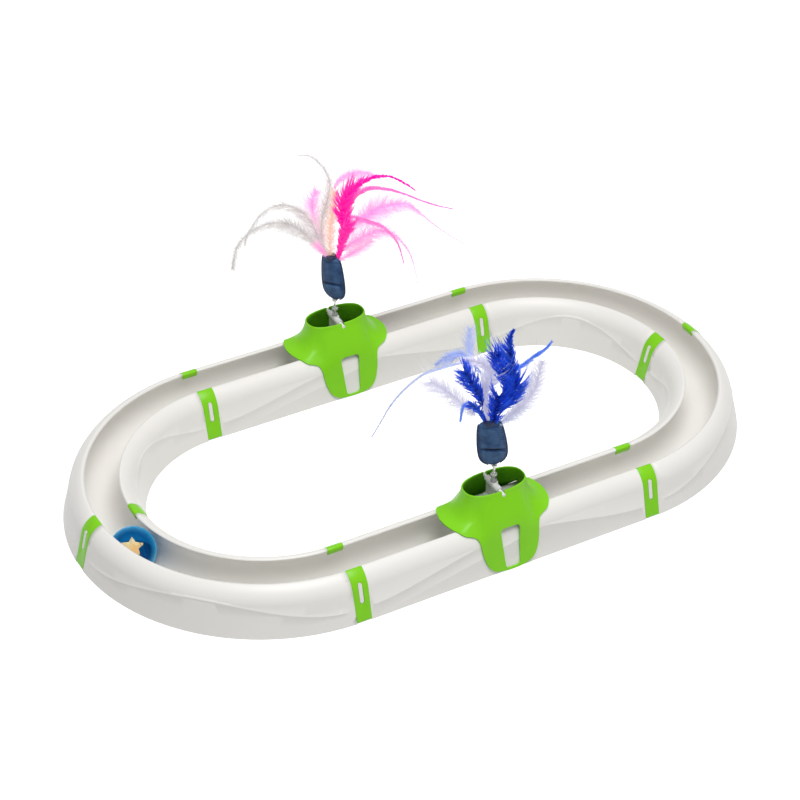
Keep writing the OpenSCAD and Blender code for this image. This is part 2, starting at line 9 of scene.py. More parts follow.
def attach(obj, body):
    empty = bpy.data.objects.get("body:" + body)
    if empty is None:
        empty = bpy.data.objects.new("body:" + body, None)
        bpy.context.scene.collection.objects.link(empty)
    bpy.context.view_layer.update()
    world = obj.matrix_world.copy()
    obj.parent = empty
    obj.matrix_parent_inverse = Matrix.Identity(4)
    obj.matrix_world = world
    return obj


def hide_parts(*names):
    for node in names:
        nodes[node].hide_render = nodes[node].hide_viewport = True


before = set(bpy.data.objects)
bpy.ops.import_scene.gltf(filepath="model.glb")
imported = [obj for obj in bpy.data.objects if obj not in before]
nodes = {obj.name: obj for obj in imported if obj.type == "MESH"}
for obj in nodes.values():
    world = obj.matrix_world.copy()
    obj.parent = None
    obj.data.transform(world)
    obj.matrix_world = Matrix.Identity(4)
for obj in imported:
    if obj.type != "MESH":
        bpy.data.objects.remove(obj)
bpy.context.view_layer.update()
scene = bpy.context.scene

# ---------------------------------------------------------------- Camera
# The toy is seen from the front left and well above it, through a long lens,
# so that the two straights stay almost parallel.
VIEW_TARGET = Vector((0.03355, 0.07744, 0.0))
VIEW_AZIMUTH = math.radians(-29.563)
VIEW_ELEVATION = math.radians(36.052)
VIEW_ROLL = math.radians(0.5555)
VIEW_DISTANCE = 2.1037
LENS, SENSOR_WIDTH = 103.2, 36  # millimetres

away = Vector((
    math.sin(VIEW_AZIMUTH) * math.cos(VIEW_ELEVATION),
    -math.cos(VIEW_AZIMUTH) * math.cos(VIEW_ELEVATION),
    math.sin(VIEW_ELEVATION),
))
level_right = Vector((0, 0, 1)).cross(away).normalized()
level_up = away.cross(level_right)
rolled_right = level_right * math.cos(VIEW_ROLL) + level_up * math.sin(VIEW_ROLL)
rolled_up = level_up * math.cos(VIEW_ROLL) - level_right * math.sin(VIEW_ROLL)
camera_turn = Matrix((rolled_right, rolled_up, away)).transposed()
bpy.ops.object.camera_add(
    location=VIEW_TARGET + away * VIEW_DISTANCE, rotation=camera_turn.to_euler()
)
camera = bpy.context.object
camera.name = "Camera"
camera.data.lens = LENS
camera.data.sensor_width = SENSOR_WIDTH
scene.camera = camera

# ---------------------------------------------------------------- Track segments
# Six lengths of open channel, injection moulded in off-white ABS with a fine satin
# skin. The ball runs under the rounded lips, and the outer skirt hides the channel.
# A low bead, moulded on both walls, rises and falls like a wave along each segment.

# the centreline's radius in the curves, and half the straights' length
CURVE_RADIUS, STRAIGHT_HALF = 0.140, 0.1405
# the skirt's tilt from upright, and its foot's distance from the centreline
SKIRT_TILT, SKIRT_FOOT = math.radians(13.9), 0.0354
WAVE_MIDDLE, WAVE_SWING = 0.021, 0.009
# the bead's section: across the wave and out of the wall
BEAD_SECTION = [
    (-0.0016, -0.0004), (-0.0013, -0.00005), (-0.0007, 0.0002), (0, 0.0003),
    (0.0007, 0.0002), (0.0013, -0.00005), (0.0016, -0.0004),
]
# the bead grows from this share of its size at its ends to the whole over the fade's length
BEAD_STEPS, BEAD_FADE, BEAD_END = 40, 0.014, 0.12
# the bead stops short of the clips, and of the cover's legs on a straight
BEAD_STRETCHES = {"straight": ((0.035, 0.385), (0.615, 0.965)), "curve": ((0.05, 0.95),)}
MERGE_DISTANCE = 2e-6


def paint(code):
    """A colour written as sRGB hex, as Blender's linear values."""
    parts = [int(code[i:i + 2], 16) / 255 for i in (1, 3, 5)]
    linear = [c / 12.92 if c <= 0.04045 else ((c + 0.055) / 1.055) ** 2.4 for c in parts]
    return (*linear, 1.0)


def add_node(tree, kind, settings=None, links=None):
    """A shader node with its settings, its inputs linked to outputs or to nodes' first ones."""
    node = tree.nodes.new(kind)
    for key, value in (settings or {}).items():
        if isinstance(key, int) or key in node.inputs:
            node.inputs[key].default_value = value
        else:
            setattr(node, key, value)
    for key, source in (links or {}).items():
        output = source.outputs[0] if isinstance(source, bpy.types.Node) else source
        tree.links.new(output, node.inputs[key])
    return node


def new_material(name):
    """An empty node material, and its tree."""
    material = bpy.data.materials.new(name)
    material.use_nodes = True
    material.node_tree.nodes.clear()
    return material, material.node_tree


def wear(piece, material):
    """The piece's only material."""
    piece.data.materials.clear()
    piece.data.materials.append(material)


def only(piece):
    """Selects one piece and nothing else."""
    bpy.ops.object.select_all(action="DESELECT")
    piece.select_set(True)
    bpy.context.view_layer.objects.active = piece


def edit_whole(piece):
    """The piece alone, in edit mode, with all of it selected."""
    only(piece)
    bpy.ops.object.mode_set(mode="EDIT")
    bpy.ops.mesh.select_all(action="SELECT")


def own_copy(node, name):
    """A free copy of a CAD node's mesh, its loose triangles joined up."""
    piece = nodes[node].copy()
    piece.data = nodes[node].data.copy()
    for key in list(piece.keys()):
        del piece[key]
    piece.name = name
    piece.parent = None
    scene.collection.objects.link(piece)
    edit_whole(piece)
    bpy.ops.mesh.remove_doubles(threshold=MERGE_DISTANCE)
    bpy.ops.object.mode_set(mode="OBJECT")
    return piece


def combine(piece, other, operation):
    """The other's shape added to the piece or taken out of it, and the other deleted."""
    only(piece)
    change = piece.modifiers.new("change", "BOOLEAN")
    change.operation = operation
    change.solver = "EXACT"
    change.object = other
    bpy.ops.object.modifier_apply(modifier=change.name)
    bpy.data.objects.remove(other)


def skin_rings(bm, rings):
    """Faces between each ring of corners and the next."""
    count = len(rings[0])
    for low, high in zip(rings, rings[1:]):
        for k in range(count):
            bm.faces.new((low[k], low[(k + 1) % count], high[(k + 1) % count], high[k]))


def mesh_piece(bm, name):
    """A new piece from the mesh that was built."""
    mesh = bpy.data.meshes.new(name)
    bm.to_mesh(mesh)
    bm.free()
    piece = bpy.data.objects.new(name, mesh)
    scene.collection.objects.link(piece)
    return piece


def satin_abs():
    """Satin-moulded ABS: an even off-white with soft, broad highlights and a hint of grain."""
    material, tree = new_material("satin_moulded_abs")
    place = add_node(tree, "ShaderNodeTexCoord")
    # broad, very faint unevenness of the moulded colour, about 90 mm across
    cloud = add_node(tree, "ShaderNodeTexNoise", {"Scale": 11, "Detail": 2},
                     {"Vector": place.outputs["Object"]})
    tone = add_node(tree, "ShaderNodeMix",
                    {"data_type": "RGBA", 6: paint("#EFEDE8"), 7: paint("#F4F2EE")},
                    {0: cloud.outputs["Fac"]})
    # the satin skin's grain, 0.8 mm, drawn coarser than the real 0.1 mm
    grain = add_node(tree, "ShaderNodeTexNoise", {"Scale": 1250, "Detail": 1},
                     {"Vector": place.outputs["Object"]})
    bump = add_node(tree, "ShaderNodeBump", {"Strength": 0.03, "Distance": 0.0002},
                    {"Height": grain.outputs["Fac"]})
    gloss = add_node(tree, "ShaderNodeMapRange", {"To Min": 0.34, "To Max": 0.42},
                     {"Value": cloud.outputs["Fac"]})
    shader = add_node(tree, "ShaderNodeBsdfPrincipled",
                      {"IOR": 1.5, "Specular IOR Level": 0.42},
                      {"Base Color": tone.outputs[2], "Roughness": gloss,
                       "Normal": bump})
    add_node(tree, "ShaderNodeOutputMaterial", None, {"Surface": shader})
    return material


def on_skirt(node, hand, share):
    """The wave's point on a segment's wall (hand 1 outside, -1 inside), and the way out of it."""
    height = WAVE_MIDDLE - WAVE_SWING * math.cos(2 * math.pi * share)
    off = CURVE_RADIUS + hand * (SKIRT_FOOT - height * math.tan(SKIRT_TILT))
    sign_x = -1 if node.endswith("left") else 1
    sign_y = -1 if "front" in node else 1
    if "straight" in node:
        way = Vector((0, sign_y, 0))
        middle = Vector(((2 * share - 1) * STRAIGHT_HALF, 0, height))
    else:
        turn = share * math.pi / 2
        way = Vector((sign_x * math.cos(turn), sign_y * math.sin(turn), 0))
        middle = Vector((sign_x * STRAIGHT_HALF, 0, height))
    out = way * (hand * math.cos(SKIRT_TILT)) + Vector((0, 0, math.sin(SKIRT_TILT)))
    return middle + way * off, out


def wave_bead(node, hand, first, last):
    """A low ridge along part of the wave, its ends fading into the wall."""
    steps = BEAD_STEPS
    course = [on_skirt(node, hand, first + (last - first) * k / steps) for k in range(steps + 1)]
    length = sum((b[0] - a[0]).length for a, b in zip(course, course[1:]))
    bm = bmesh.new()
    rings = []
    for k, (point, out) in enumerate(course):
        ahead = course[min(k + 1, steps)][0] - course[max(k - 1, 0)][0]
        across = out.cross(ahead).normalized()
        size = min(1, BEAD_END + length / steps * min(k, steps - k) / BEAD_FADE)
        rings.append([bm.verts.new(point + (across * x + out * y) * size) for x, y in BEAD_SECTION])
    skin_rings(bm, rings)
    bm.faces.new(rings[0])
    bm.faces.new(rings[-1])
    bmesh.ops.recalc_face_normals(bm, faces=bm.faces)
    return mesh_piece(bm, "Bead")


track_plastic = satin_abs()
for node in [n for n in nodes if n.startswith("track_")]:
    segment = own_copy(node, node.replace("track", "Track_segment"))
    stretches = BEAD_STRETCHES["straight" if "straight" in node else "curve"]
    beads = [wave_bead(node, hand, *stretch) for hand in (1, -1) for stretch in stretches]
    for bead in beads:
        combine(segment, bead, "UNION")
    bpy.ops.object.shade_smooth_by_angle(angle=math.radians(20))
    wear(segment, track_plastic)
    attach(segment, "base")
    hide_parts(node)

# ---------------------------------------------------------------- Snap clips
# Twelve springy straps of glossy green polypropylene. Each bridges a seam: its hook
# hangs over the lip, and its window snaps over the pill made by the two segments.


def glossy_green():
    """Gloss-moulded polypropylene: a saturated lime green with a clean, waxy sheen."""
    material, tree = new_material("gloss_moulded_green")
    place = add_node(tree, "ShaderNodeTexCoord")
    # the pigment's slight streaks along the flow of the melt, 25 mm wide and 60 mm long
    stretch = add_node(tree, "ShaderNodeMapping", {"Scale": (1, 1, 0.4)},
                       {"Vector": place.outputs["Object"]})
    flow = add_node(tree, "ShaderNodeTexNoise", {"Scale": 40, "Detail": 2},
                    {"Vector": stretch})
    tone = add_node(tree, "ShaderNodeMix",
                    {"data_type": "RGBA", 6: paint("#7FD314"), 7: paint("#89DC1C")},
                    {0: flow.outputs["Fac"]})
    ripple = add_node(tree, "ShaderNodeTexNoise", {"Scale": 180, "Detail": 1},
                      {"Vector": place.outputs["Object"]})
    bump = add_node(tree, "ShaderNodeBump", {"Strength": 0.02, "Distance": 0.0005},
                    {"Height": ripple.outputs["Fac"]})
    # the core of the mould isn't polished, so a cover's inner skin is matt; its colour is painted
    # deeper there too, as painted shade inside the chimney
    inside = add_node(tree, "ShaderNodeAttribute", {"attribute_name": "inside"})
    depth = add_node(tree, "ShaderNodeMix", {"data_type": "RGBA", 7: paint("#5CAE0C")},
                     {0: inside.outputs["Fac"], 6: tone.outputs[2]})
    sheen = add_node(tree, "ShaderNodeMapRange", {"To Min": 0.34, "To Max": 0.75},
                     {"Value": inside.outputs["Fac"]})
    mirror = add_node(tree, "ShaderNodeMapRange", {"To Min": 0.3, "To Max": 0.08},
                      {"Value": inside.outputs["Fac"]})
    shader = add_node(tree, "ShaderNodeBsdfPrincipled", {"IOR": 1.49},
                      {"Base Color": depth.outputs[2], "Normal": bump,
                       "Roughness": sheen, "Specular IOR Level": mirror})
    add_node(tree, "ShaderNodeOutputMaterial", None, {"Surface": shader})
    return material


def soften_edges(piece, width, crease):
    """Flat faces joined, then a small round on every edge sharper than the crease."""
    edit_whole(piece)
    bpy.ops.mesh.dissolve_limited(angle_limit=math.radians(0.5))
    bpy.ops.object.mode_set(mode="OBJECT")
    round_off = piece.modifiers.new("round_off", "BEVEL")
    round_off.width = width
    round_off.segments = 2
    round_off.limit_method = "ANGLE"
    round_off.angle_limit = math.radians(crease)
    bpy.ops.object.modifier_apply(modifier=round_off.name)
    bpy.ops.object.shade_smooth_by_angle(angle=math.radians(30))


green_plastic = glossy_green()
for node in [n for n in nodes if n.startswith("clip_")]:
    strap = own_copy(node, node.replace("clip", "Clip"))
    soften_edges(strap, width=0.0002, crease=50)
    wear(strap, green_plastic)
    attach(strap, "base")
    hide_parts(node)

# ---------------------------------------------------------------- Covers
# Two saddles of the same green polypropylene, each moulded in one piece with an oval
# chimney, two wings that hug the rims and two legs, one of them with a tall window.

# the track's section under the cover: its crest's distance from the centreline and height,
# and the radius of the shoulder that leads from there down to the skirt
CREST_OFF, TRACK_TOP, SHOULDER_RADIUS = 0.0173, 0.0418, 0.020
COVER_WALL, COVER_PLAY = 0.0013, 0.0003
CHIMNEY_TOP = 0.067
CHIMNEY_HALF_LENGTH, CHIMNEY_HALF_WIDTH = 0.0275, 0.0138
# girths are measured round the track's section, from its middle
WING_HALF_LENGTH, WING_HALF_GIRTH, WING_ARCH = 0.049, 0.024, 0.0004
LEG_HALF_WIDTH, LEG_FOOT = 0.0285, 0.0005
# how late the skin spreads from the rim, how soon it comes down, how square the oval is
SPREAD_POWER, LIFT_POWER, OVAL_POWER = 1.35, 2.2, 2.5
EDGE_STEPS, COVER_RINGS, RIM_STEPS = 5, 26, 5

# the section worked out: the skirt's two directions, the crest, the shoulder's middle and
# end, and the girths at the shoulder's end and at the leg's foot
skirt_out = Vector((math.cos(SKIRT_TILT), math.sin(SKIRT_TILT)))
skirt_up = Vector((-math.sin(SKIRT_TILT), math.cos(SKIRT_TILT)))
skirt_turn = math.pi / 2 - SKIRT_TILT
crest = Vector((CREST_OFF, TRACK_TOP))
crest_turn = skirt_turn - math.acos(
    1 - skirt_out.dot(Vector((SKIRT_FOOT, 0)) - crest) / SHOULDER_RADIUS
)
crest_out = Vector((math.sin(crest_turn), math.cos(crest_turn)))
shoulder = crest - SHOULDER_RADIUS * crest_out
shoulder_end = shoulder + SHOULDER_RADIUS * skirt_out
shoulder_arc = SHOULDER_RADIUS * (skirt_turn - crest_turn)
leg_girth = CREST_OFF + shoulder_arc + (shoulder_end.y - LEG_FOOT) / skirt_up.y

# a quarter of the lower edge: how far out along the wing, how wide on the leg,
# how far round to the wing's side, how far on down to the leg's foot
LOWER_EDGE = [
    (1, 1, 0, 0), (0.98, 1, 0.22, 0), (0.85, 1, 0.59, 0), (0.58, 1, 0.91, 0),
    (0.3, 1, 1.01, 0.01), (0.1, 1, 1.01, 0.07), (0, 0.99, 1, 0.21), (0, 0.94, 1, 0.48),
    (0, 0.82, 1, 0.76), (0, 0.63, 1, 0.92), (0, 0.33, 1, 0.985), (0, 0, 1, 1),
]


def on_track(girth, above):
    """Distance from the centreline and height, at a distance round the track's section."""
    if girth <= CREST_OFF:
        ridge = crest + above * crest_out
        share = girth / CREST_OFF
        return Vector((ridge.x * share, ridge.y + WING_ARCH * (1 - share ** 2)))
    if girth <= CREST_OFF + shoulder_arc:
        turn = crest_turn + (girth - CREST_OFF) / SHOULDER_RADIUS
        return shoulder + (SHOULDER_RADIUS + above) * Vector((math.sin(turn), math.cos(turn)))
    return shoulder_end + above * skirt_out - (girth - CREST_OFF - shoulder_arc) * skirt_up


def edge_corner(index):
    """A corner of the lower edge: the quarter's own, or one mirrored past either of its ends."""
    last = len(LOWER_EDGE) - 1
    flip_x = -1 if index > last else 1
    flip_girth = -1 if index < 0 else 1
    wing, leg, side, foot = LOWER_EDGE[min(abs(index), 2 * last - index)]
    return Vector((
        flip_x * (LEG_HALF_WIDTH * leg + (WING_HALF_LENGTH - LEG_HALF_WIDTH) * wing),
        flip_girth * (WING_HALF_GIRTH * side + (leg_girth - WING_HALF_GIRTH) * foot),
    ))


def smooth_between(a, b, c, d, t):
    """A point between b and c on the smooth line through all four."""
    return 0.5 * (
        2 * b + (c - a) * t + (2 * a - 5 * b + 4 * c - d) * t * t
        + (3 * b - a - 3 * c + d) * t ** 3
    )


quarter = (len(LOWER_EDGE) - 1) * EDGE_STEPS


def cover_point(column, t, above, grow):
    """A point of the cover's skin, from the chimney's rim (t = 0) to the lower edge (t = 1)."""
    turned, step = divmod(column, quarter)
    step = quarter - step if turned % 2 else step
    i = min(step // EDGE_STEPS, len(LOWER_EDGE) - 2)
    edge = smooth_between(*(edge_corner(i + k) for k in (-1, 0, 1, 2)), step / EDGE_STEPS - i)
    angle = math.pi / 2 * step / quarter
    power = 2 / OVAL_POWER
    rim = Vector((
        (CHIMNEY_HALF_LENGTH + grow) * max(math.cos(angle), 0) ** power,
        (CHIMNEY_HALF_WIDTH + grow) * max(math.sin(angle), 0) ** power,
    ))
    spread = t ** SPREAD_POWER
    girth = rim.y + (edge.y - rim.y) * spread
    place = on_track(girth, above)
    lift = (CHIMNEY_TOP - on_track(rim.y, above).y) * (1 - t) ** LIFT_POWER
    return Vector((
        (-1 if turned in (1, 2) else 1) * (rim.x + (edge.x - rim.x) * spread),
        (-1 if turned > 1 else 1) * place.x,
        place.y + lift,
    ))


def cover_mesh(name, centre_y):
    """A ring on the outer lower edge, extruded up over the rim and down inside, closed below."""
    count = 4 * quarter
    outer, inner = COVER_PLAY + COVER_WALL, COVER_PLAY
    middle, half = (outer + inner) / 2, COVER_WALL / 2
    course = [(1 - i / COVER_RINGS, outer, COVER_WALL, 0) for i in range(COVER_RINGS + 1)]
    # the rounded rim, as points of a half circle from the outer to the inner skin
    course += [(0, middle + half * math.cos(a), half + half * math.cos(a), half * math.sin(a))
               for a in (math.pi * k / RIM_STEPS for k in range(1, RIM_STEPS))]
    course += [(i / COVER_RINGS, inner, 0, 0) for i in range(COVER_RINGS + 1)]
    bpy.ops.mesh.primitive_circle_add(vertices=count, radius=0.05, location=(0, centre_y, 0))
    piece = bpy.context.object
    piece.name = name
    bpy.ops.object.mode_set(mode="EDIT")
    for _ in course[1:]:
        bpy.ops.mesh.extrude_edges_move()
    bpy.ops.object.mode_set(mode="OBJECT")
    # marks the inner skin, for its matt finish and for the painted shade in its colour
    inside = piece.data.attributes.new("inside", "FLOAT", "POINT")
    for k, (t, above, grow, rise) in enumerate(course):
        for column in range(count):
            point = cover_point(column, t, above, grow)
            piece.data.vertices[k * count + column].co = point + Vector((0, 0, rise))
            inside.data[k * count + column].value = float(k >= COVER_RINGS + RIM_STEPS - 1)
    only(piece)
    bpy.ops.object.mode_set(mode="EDIT")
    bpy.ops.mesh.select_all(action="DESELECT")
    bpy.ops.mesh.select_mode(type="EDGE")
    bpy.ops.mesh.select_non_manifold(
        extend=False, use_wire=False, use_boundary=True,
        use_multi_face=False, use_non_contiguous=False, use_verts=False)
    bpy.ops.mesh.bridge_edge_loops()
    bpy.ops.mesh.select_all(action="SELECT")
    bpy.ops.mesh.normals_make_consistent(inside=False)
    bpy.ops.object.mode_set(mode="OBJECT")
    bpy.ops.object.transform_apply(location=True, rotation=True, scale=True)
    return piece


# the leg's window, its upper end wider than its foot, and the bar's notches
WINDOW = {"half": 0.0092, "foot_half": 0.007, "top": 0.0395, "bottom": 0.0025, "corner": 0.0035}
BAR_HEIGHT, BAR_RADIUS, BAR_PLAY = 0.0644, 0.0016, 0.00008
# how far the cutters reach through a leg and through the chimney, and the notch's way in
WINDOW_CUT, NOTCH_CUT = 0.04, 0.06
SLOT_WIDTH, SLOT_HEIGHT = 1.8 * BAR_RADIUS, 0.01


def window_cutter(y):
    """A plate through the leg, wrapped round four corner rods, the lower two closer together."""
    corner = WINDOW["corner"]
    rods = []
    for half, height in (
        (WINDOW["half"], WINDOW["top"] - corner),
        (WINDOW["foot_half"], WINDOW["bottom"] + corner),
    ):
        for hand in (-1, 1):
            bpy.ops.mesh.primitive_cylinder_add(
                vertices=32, radius=corner, depth=WINDOW_CUT,
                location=(hand * (half - corner), y, height), rotation=(math.pi / 2, 0, 0))
            rods.append(bpy.context.object)
    for rod in rods:
        rod.select_set(True)
    bpy.ops.object.join()
    plate = bpy.context.object
    edit_whole(plate)
    bpy.ops.mesh.convex_hull()
    bpy.ops.object.mode_set(mode="OBJECT")
    return plate


def notch_cutter(y):
    """The bore in both long sides of the chimney that the bar lies in."""
    bpy.ops.mesh.primitive_cylinder_add(
        vertices=48, radius=BAR_RADIUS + BAR_PLAY, depth=NOTCH_CUT,
        location=(0, y, BAR_HEIGHT), rotation=(math.pi / 2, 0, 0))
    return bpy.context.object


def slot_cutter(y):
    """The way into the bore from above, a little narrower than the bar."""
    bpy.ops.mesh.primitive_cube_add(size=1, location=(0, y, BAR_HEIGHT + SLOT_HEIGHT / 2))
    slot = bpy.context.object
    slot.scale = (SLOT_WIDTH, NOTCH_CUT, SLOT_HEIGHT)
    bpy.ops.object.transform_apply(location=True, rotation=True, scale=True)
    return slot


for side, sign in (("front", -1), ("back", 1)):
    centre_y = sign * CURVE_RADIUS
    saddle = cover_mesh("Cover_" + side, centre_y)
    # only the leg towards -Y has a window
    combine(saddle, window_cutter(centre_y - SKIRT_FOOT), "DIFFERENCE")
    combine(saddle, notch_cutter(centre_y), "DIFFERENCE")
    combine(saddle, slot_cutter(centre_y), "DIFFERENCE")
    only(saddle)
    bpy.ops.object.shade_smooth_by_angle(angle=math.radians(38))
    wear(saddle, green_plastic)
    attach(saddle, "base")
    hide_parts("cover_" + side)

# ---------------------------------------------------------------- Ball
# Two glossy half shells of tinted clear polystyrene, welded round the middle, with
# a deep blue keel and a printed orange star inside.


def tinted_clear():
    """Polished tinted polystyrene: clear seen face-on, deep blue edge-on and behind, where its skin
    also glows as painted light.
    """
    material, tree = new_material("tinted_clear_polystyrene")
    rim = add_node(tree, "ShaderNodeLayerWeight", {"Blend": 0.5})
    behind = add_node(tree, "ShaderNodeNewGeometry")
    path = add_node(tree, "ShaderNodeLightPath")
    cavity = add_node(tree, "ShaderNodeAttribute", {"attribute_name": "cavity"})
    tone = add_node(tree, "ShaderNodeMix",
                    {"data_type": "RGBA", 6: paint("#DCF0FA"), 7: paint("#2F93CC")},
                    {0: rim.outputs["Facing"]})
    clear = add_node(tree, "ShaderNodeBsdfTransparent", None, {"Color": tone.outputs[2]})
    # the tinted skin glows in cyan blue: painted light that brightens the ball's deep blue
    skin = add_node(tree, "ShaderNodeBsdfPrincipled",
                    {"Base Color": paint("#0A6CAB"), "Roughness": 0.06, "IOR": 1.59,
                     "Specular IOR Level": 0.6, "Emission Color": paint("#1A8CAA"),
                     "Emission Strength": 0.7})
    part = add_node(tree, "ShaderNodeMapRange",
                    {"From Min": 0.3, "From Max": 0.8, "To Min": 0.08, "To Max": 0.95},
                    {"Value": rim.outputs["Facing"]})
    # the far wall, seen from inside, is backed by the whole depth of the tint
    far = add_node(tree, "ShaderNodeMath", {"operation": "SUBTRACT", "use_clamp": True},
                   {0: behind.outputs["Backfacing"], 1: path.outputs["Is Shadow Ray"]})
    whole = add_node(tree, "ShaderNodeMath", {"operation": "MAXIMUM"},
                     {0: part, 1: far})
    # the inner face of each wall adds nothing of its own
    share = add_node(tree, "ShaderNodeMath", {"operation": "SUBTRACT", "use_clamp": True},
                     {0: whole, 1: cavity.outputs["Fac"]})
    both = add_node(tree, "ShaderNodeMixShader", None,
                    {0: share, 1: clear, 2: skin})
    add_node(tree, "ShaderNodeOutputMaterial", None, {"Surface": both})
    return material


BALL_RADIUS, BALL_WALL = 0.020, 0.0016
BALL_CENTRE = Vector((-0.27793, -0.02671, 0.022))
shell_plastic = tinted_clear()
for node in ("ball_shell_outer", "ball_shell_inner"):
    half_shell = own_copy(node, node.replace("ball", "Ball"))
    bpy.ops.object.shade_smooth_by_angle(angle=math.radians(40))
    cavity = half_shell.data.attributes.new("cavity", "FLOAT", "POINT")
    for vertex in half_shell.data.vertices:
        deep = (vertex.co - BALL_CENTRE).length < BALL_RADIUS - BALL_WALL / 2
        cavity.data[vertex.index].value = float(deep)
    wear(half_shell, shell_plastic)
    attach(half_shell, "ball_shell")
    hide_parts(node)


def plain_moulded(name, low, high, roughness, speckle, glow=0.0):
    """Moulded plastic in two close tones, mottled at the size given in millimetres."""
    material, tree = new_material(name)
    place = add_node(tree, "ShaderNodeTexCoord")
    mottle = add_node(tree, "ShaderNodeTexNoise", {"Scale": 1000 / speckle, "Detail": 2},
                      {"Vector": place.outputs["Object"]})
    tone = add_node(tree, "ShaderNodeMix", {"data_type": "RGBA", 6: paint(low), 7: paint(high)},
                    {0: mottle.outputs["Fac"]})
    bump = add_node(tree, "ShaderNodeBump", {"Strength": 0.05, "Distance": 0.0002},
                    {"Height": mottle.outputs["Fac"]})
    # a glow above 0 makes the plastic shine in its own colour: painted light
    shader = add_node(tree, "ShaderNodeBsdfPrincipled",
                      {"Roughness": roughness, "IOR": 1.5, "Emission Strength": glow},
                      {"Base Color": tone.outputs[2], "Normal": bump,
                       "Emission Color": tone.outputs[2]})
    add_node(tree, "ShaderNodeOutputMaterial", None, {"Surface": shader})
    return material


keel = own_copy("ball_keel", "Ball_keel")
soften_edges(keel, width=0.0003, crease=50)
wear(keel, plain_moulded("glossy_navy_keel", "#04406F", "#06508A", roughness=0.25, speckle=9))
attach(keel, "ball_core")
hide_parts("ball_keel")

star = own_copy("ball_star", "Ball_star")
soften_edges(star, width=0.0004, crease=30)
# the ink is bright, and it also glows as painted light, so that it still reads clearly through the
# tint of the shell
wear(star, plain_moulded("printed_orange_star", "#FFC884", "#FF8C20",
                         roughness=0.5, speckle=9, glow=1.6))
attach(star, "ball_core")
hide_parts("ball_star")

# ---------------------------------------------------------------- Rockers
# A white pivot bar lies across each chimney. On it hangs a clear moulded paddle with
# a steel weight in its foot, and above it a clear stem with two collars and a flange.


def frosted_clear(name, through):
    """Clear polystyrene with fine swirls, so that it looks milky where it is thick."""
    material, tree = new_material(name)
    place = add_node(tree, "ShaderNodeTexCoord")
    # the melt's swirls, about 4 mm across
    swirl = add_node(tree, "ShaderNodeTexNoise", {"Scale": 260, "Detail": 3},
                     {"Vector": place.outputs["Object"]})
    gloss = add_node(tree, "ShaderNodeMapRange", {"To Min": 0.12, "To Max": 0.3},
                     {"Value": swirl.outputs["Fac"]})
    shader = add_node(tree, "ShaderNodeBsdfPrincipled",
                      {"Base Color": paint("#F6F8F4"), "IOR": 1.5,
                       "Transmission Weight": through},
                      {"Roughness": gloss})
    add_node(tree, "ShaderNodeOutputMaterial", None, {"Surface": shader})
    return material


def turned_steel():
    """A cut length of plain steel bar, its surface brushed round by the lathe."""
    material, tree = new_material("turned_steel")
    place = add_node(tree, "ShaderNodeTexCoord")
    # the tool's marks, drawn 1 mm apart because the real 0.1 mm is too fine to show
    rings = add_node(tree, "ShaderNodeTexWave",
                     {"wave_type": "BANDS", "bands_direction": "Y", "Scale": 320, "Distortion": 1},
                     {"Vector": place.outputs["Object"]})
    gloss = add_node(tree, "ShaderNodeMapRange", {"To Min": 0.25, "To Max": 0.4},
                     {"Value": rings.outputs["Fac"]})
    shader = add_node(tree, "ShaderNodeBsdfPrincipled",
                      {"Base Color": paint("#B9BABC"), "Metallic": 1.0},
                      {"Roughness": gloss})
    add_node(tree, "ShaderNodeOutputMaterial", None, {"Surface": shader})
    return material


clear_plastic = frosted_clear("clear_moulded_blade", through=0.25)
thin_clear_plastic = frosted_clear("clear_moulded_stem", through=0.7)
white_plastic = plain_moulded("gloss_white_bar", "#EFEFEA", "#F6F6F2", roughness=0.25, speckle=12)
steel = turned_steel()
for side in ("front", "back"):
    for node, name, finish, slot_name in (
        ("pivot_bar_", "Pivot_bar_", white_plastic, "white_plastic"),
        ("paddle_", "Paddle_", clear_plastic, "clear_plastic"),
        ("paddle_weight_", "Paddle_weight_", steel, "steel"),
        ("stem_", "Stem_", thin_clear_plastic, "clear_plastic"),
    ):
        piece = own_copy(node + side, name + side)
        soften_edges(piece, width=0.0002, crease=50)
        wear(piece, finish)
        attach(piece, "swing_" + side)
        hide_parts(node + side)

# ---------------------------------------------------------------- Pods
# A small stuffed bag of blue denim sits on each stem, with a corded seam round its
# edge and a fold across it. Its open mouth grips the feathers' quills.
POD_BOTTOM, POD_LENGTH, POD_LIP = 0.0853, 0.045, 0.0015
POD_HALF_WIDTH, POD_HALF_THICKNESS = 0.011, 0.0065
POD_LEANS = {"front": math.radians(8), "back": math.radians(4)}
POD_TURNS = {"front": math.radians(-22), "back": math.radians(-62)}
SIDE_Y = {"front": -CURVE_RADIUS, "back": CURVE_RADIUS}
# height, half width and half thickness as shares, from the lower tip to the mouth
POD_OUTLINE = [
    (0, 0.12, 0.2), (0.03, 0.4, 0.38), (0.07, 0.63, 0.54), (0.12, 0.79, 0.67), (0.18, 0.91, 0.8),
    (0.27, 0.985, 0.93), (0.4, 1.01, 1), (0.55, 0.99, 1), (0.7, 0.94, 0.92), (0.85, 0.87, 0.8),
    (0.95, 0.79, 0.7), (1, 0.72, 0.64),
]


def pod_place(side):
    """The pod's own frame: its lower tip on the stem's flange, leaning left and turned."""
    foot = Matrix.Translation((0, SIDE_Y[side], POD_BOTTOM))
    lean = Matrix.Rotation(-POD_LEANS[side], 4, "Y")
    return foot @ lean @ Matrix.Rotation(POD_TURNS[side], 4, "Z")


def outline_at(height):
    """The bag's half width and half thickness at a height, as shares."""
    for (h0, w0, t0), (h1, w1, t1) in zip(POD_OUTLINE, POD_OUTLINE[1:]):
        if height <= h1:
            f = (height - h0) / (h1 - h0)
            return w0 + (w1 - w0) * f, t0 + (t1 - t0) * f
    return POD_OUTLINE[-1][1:]


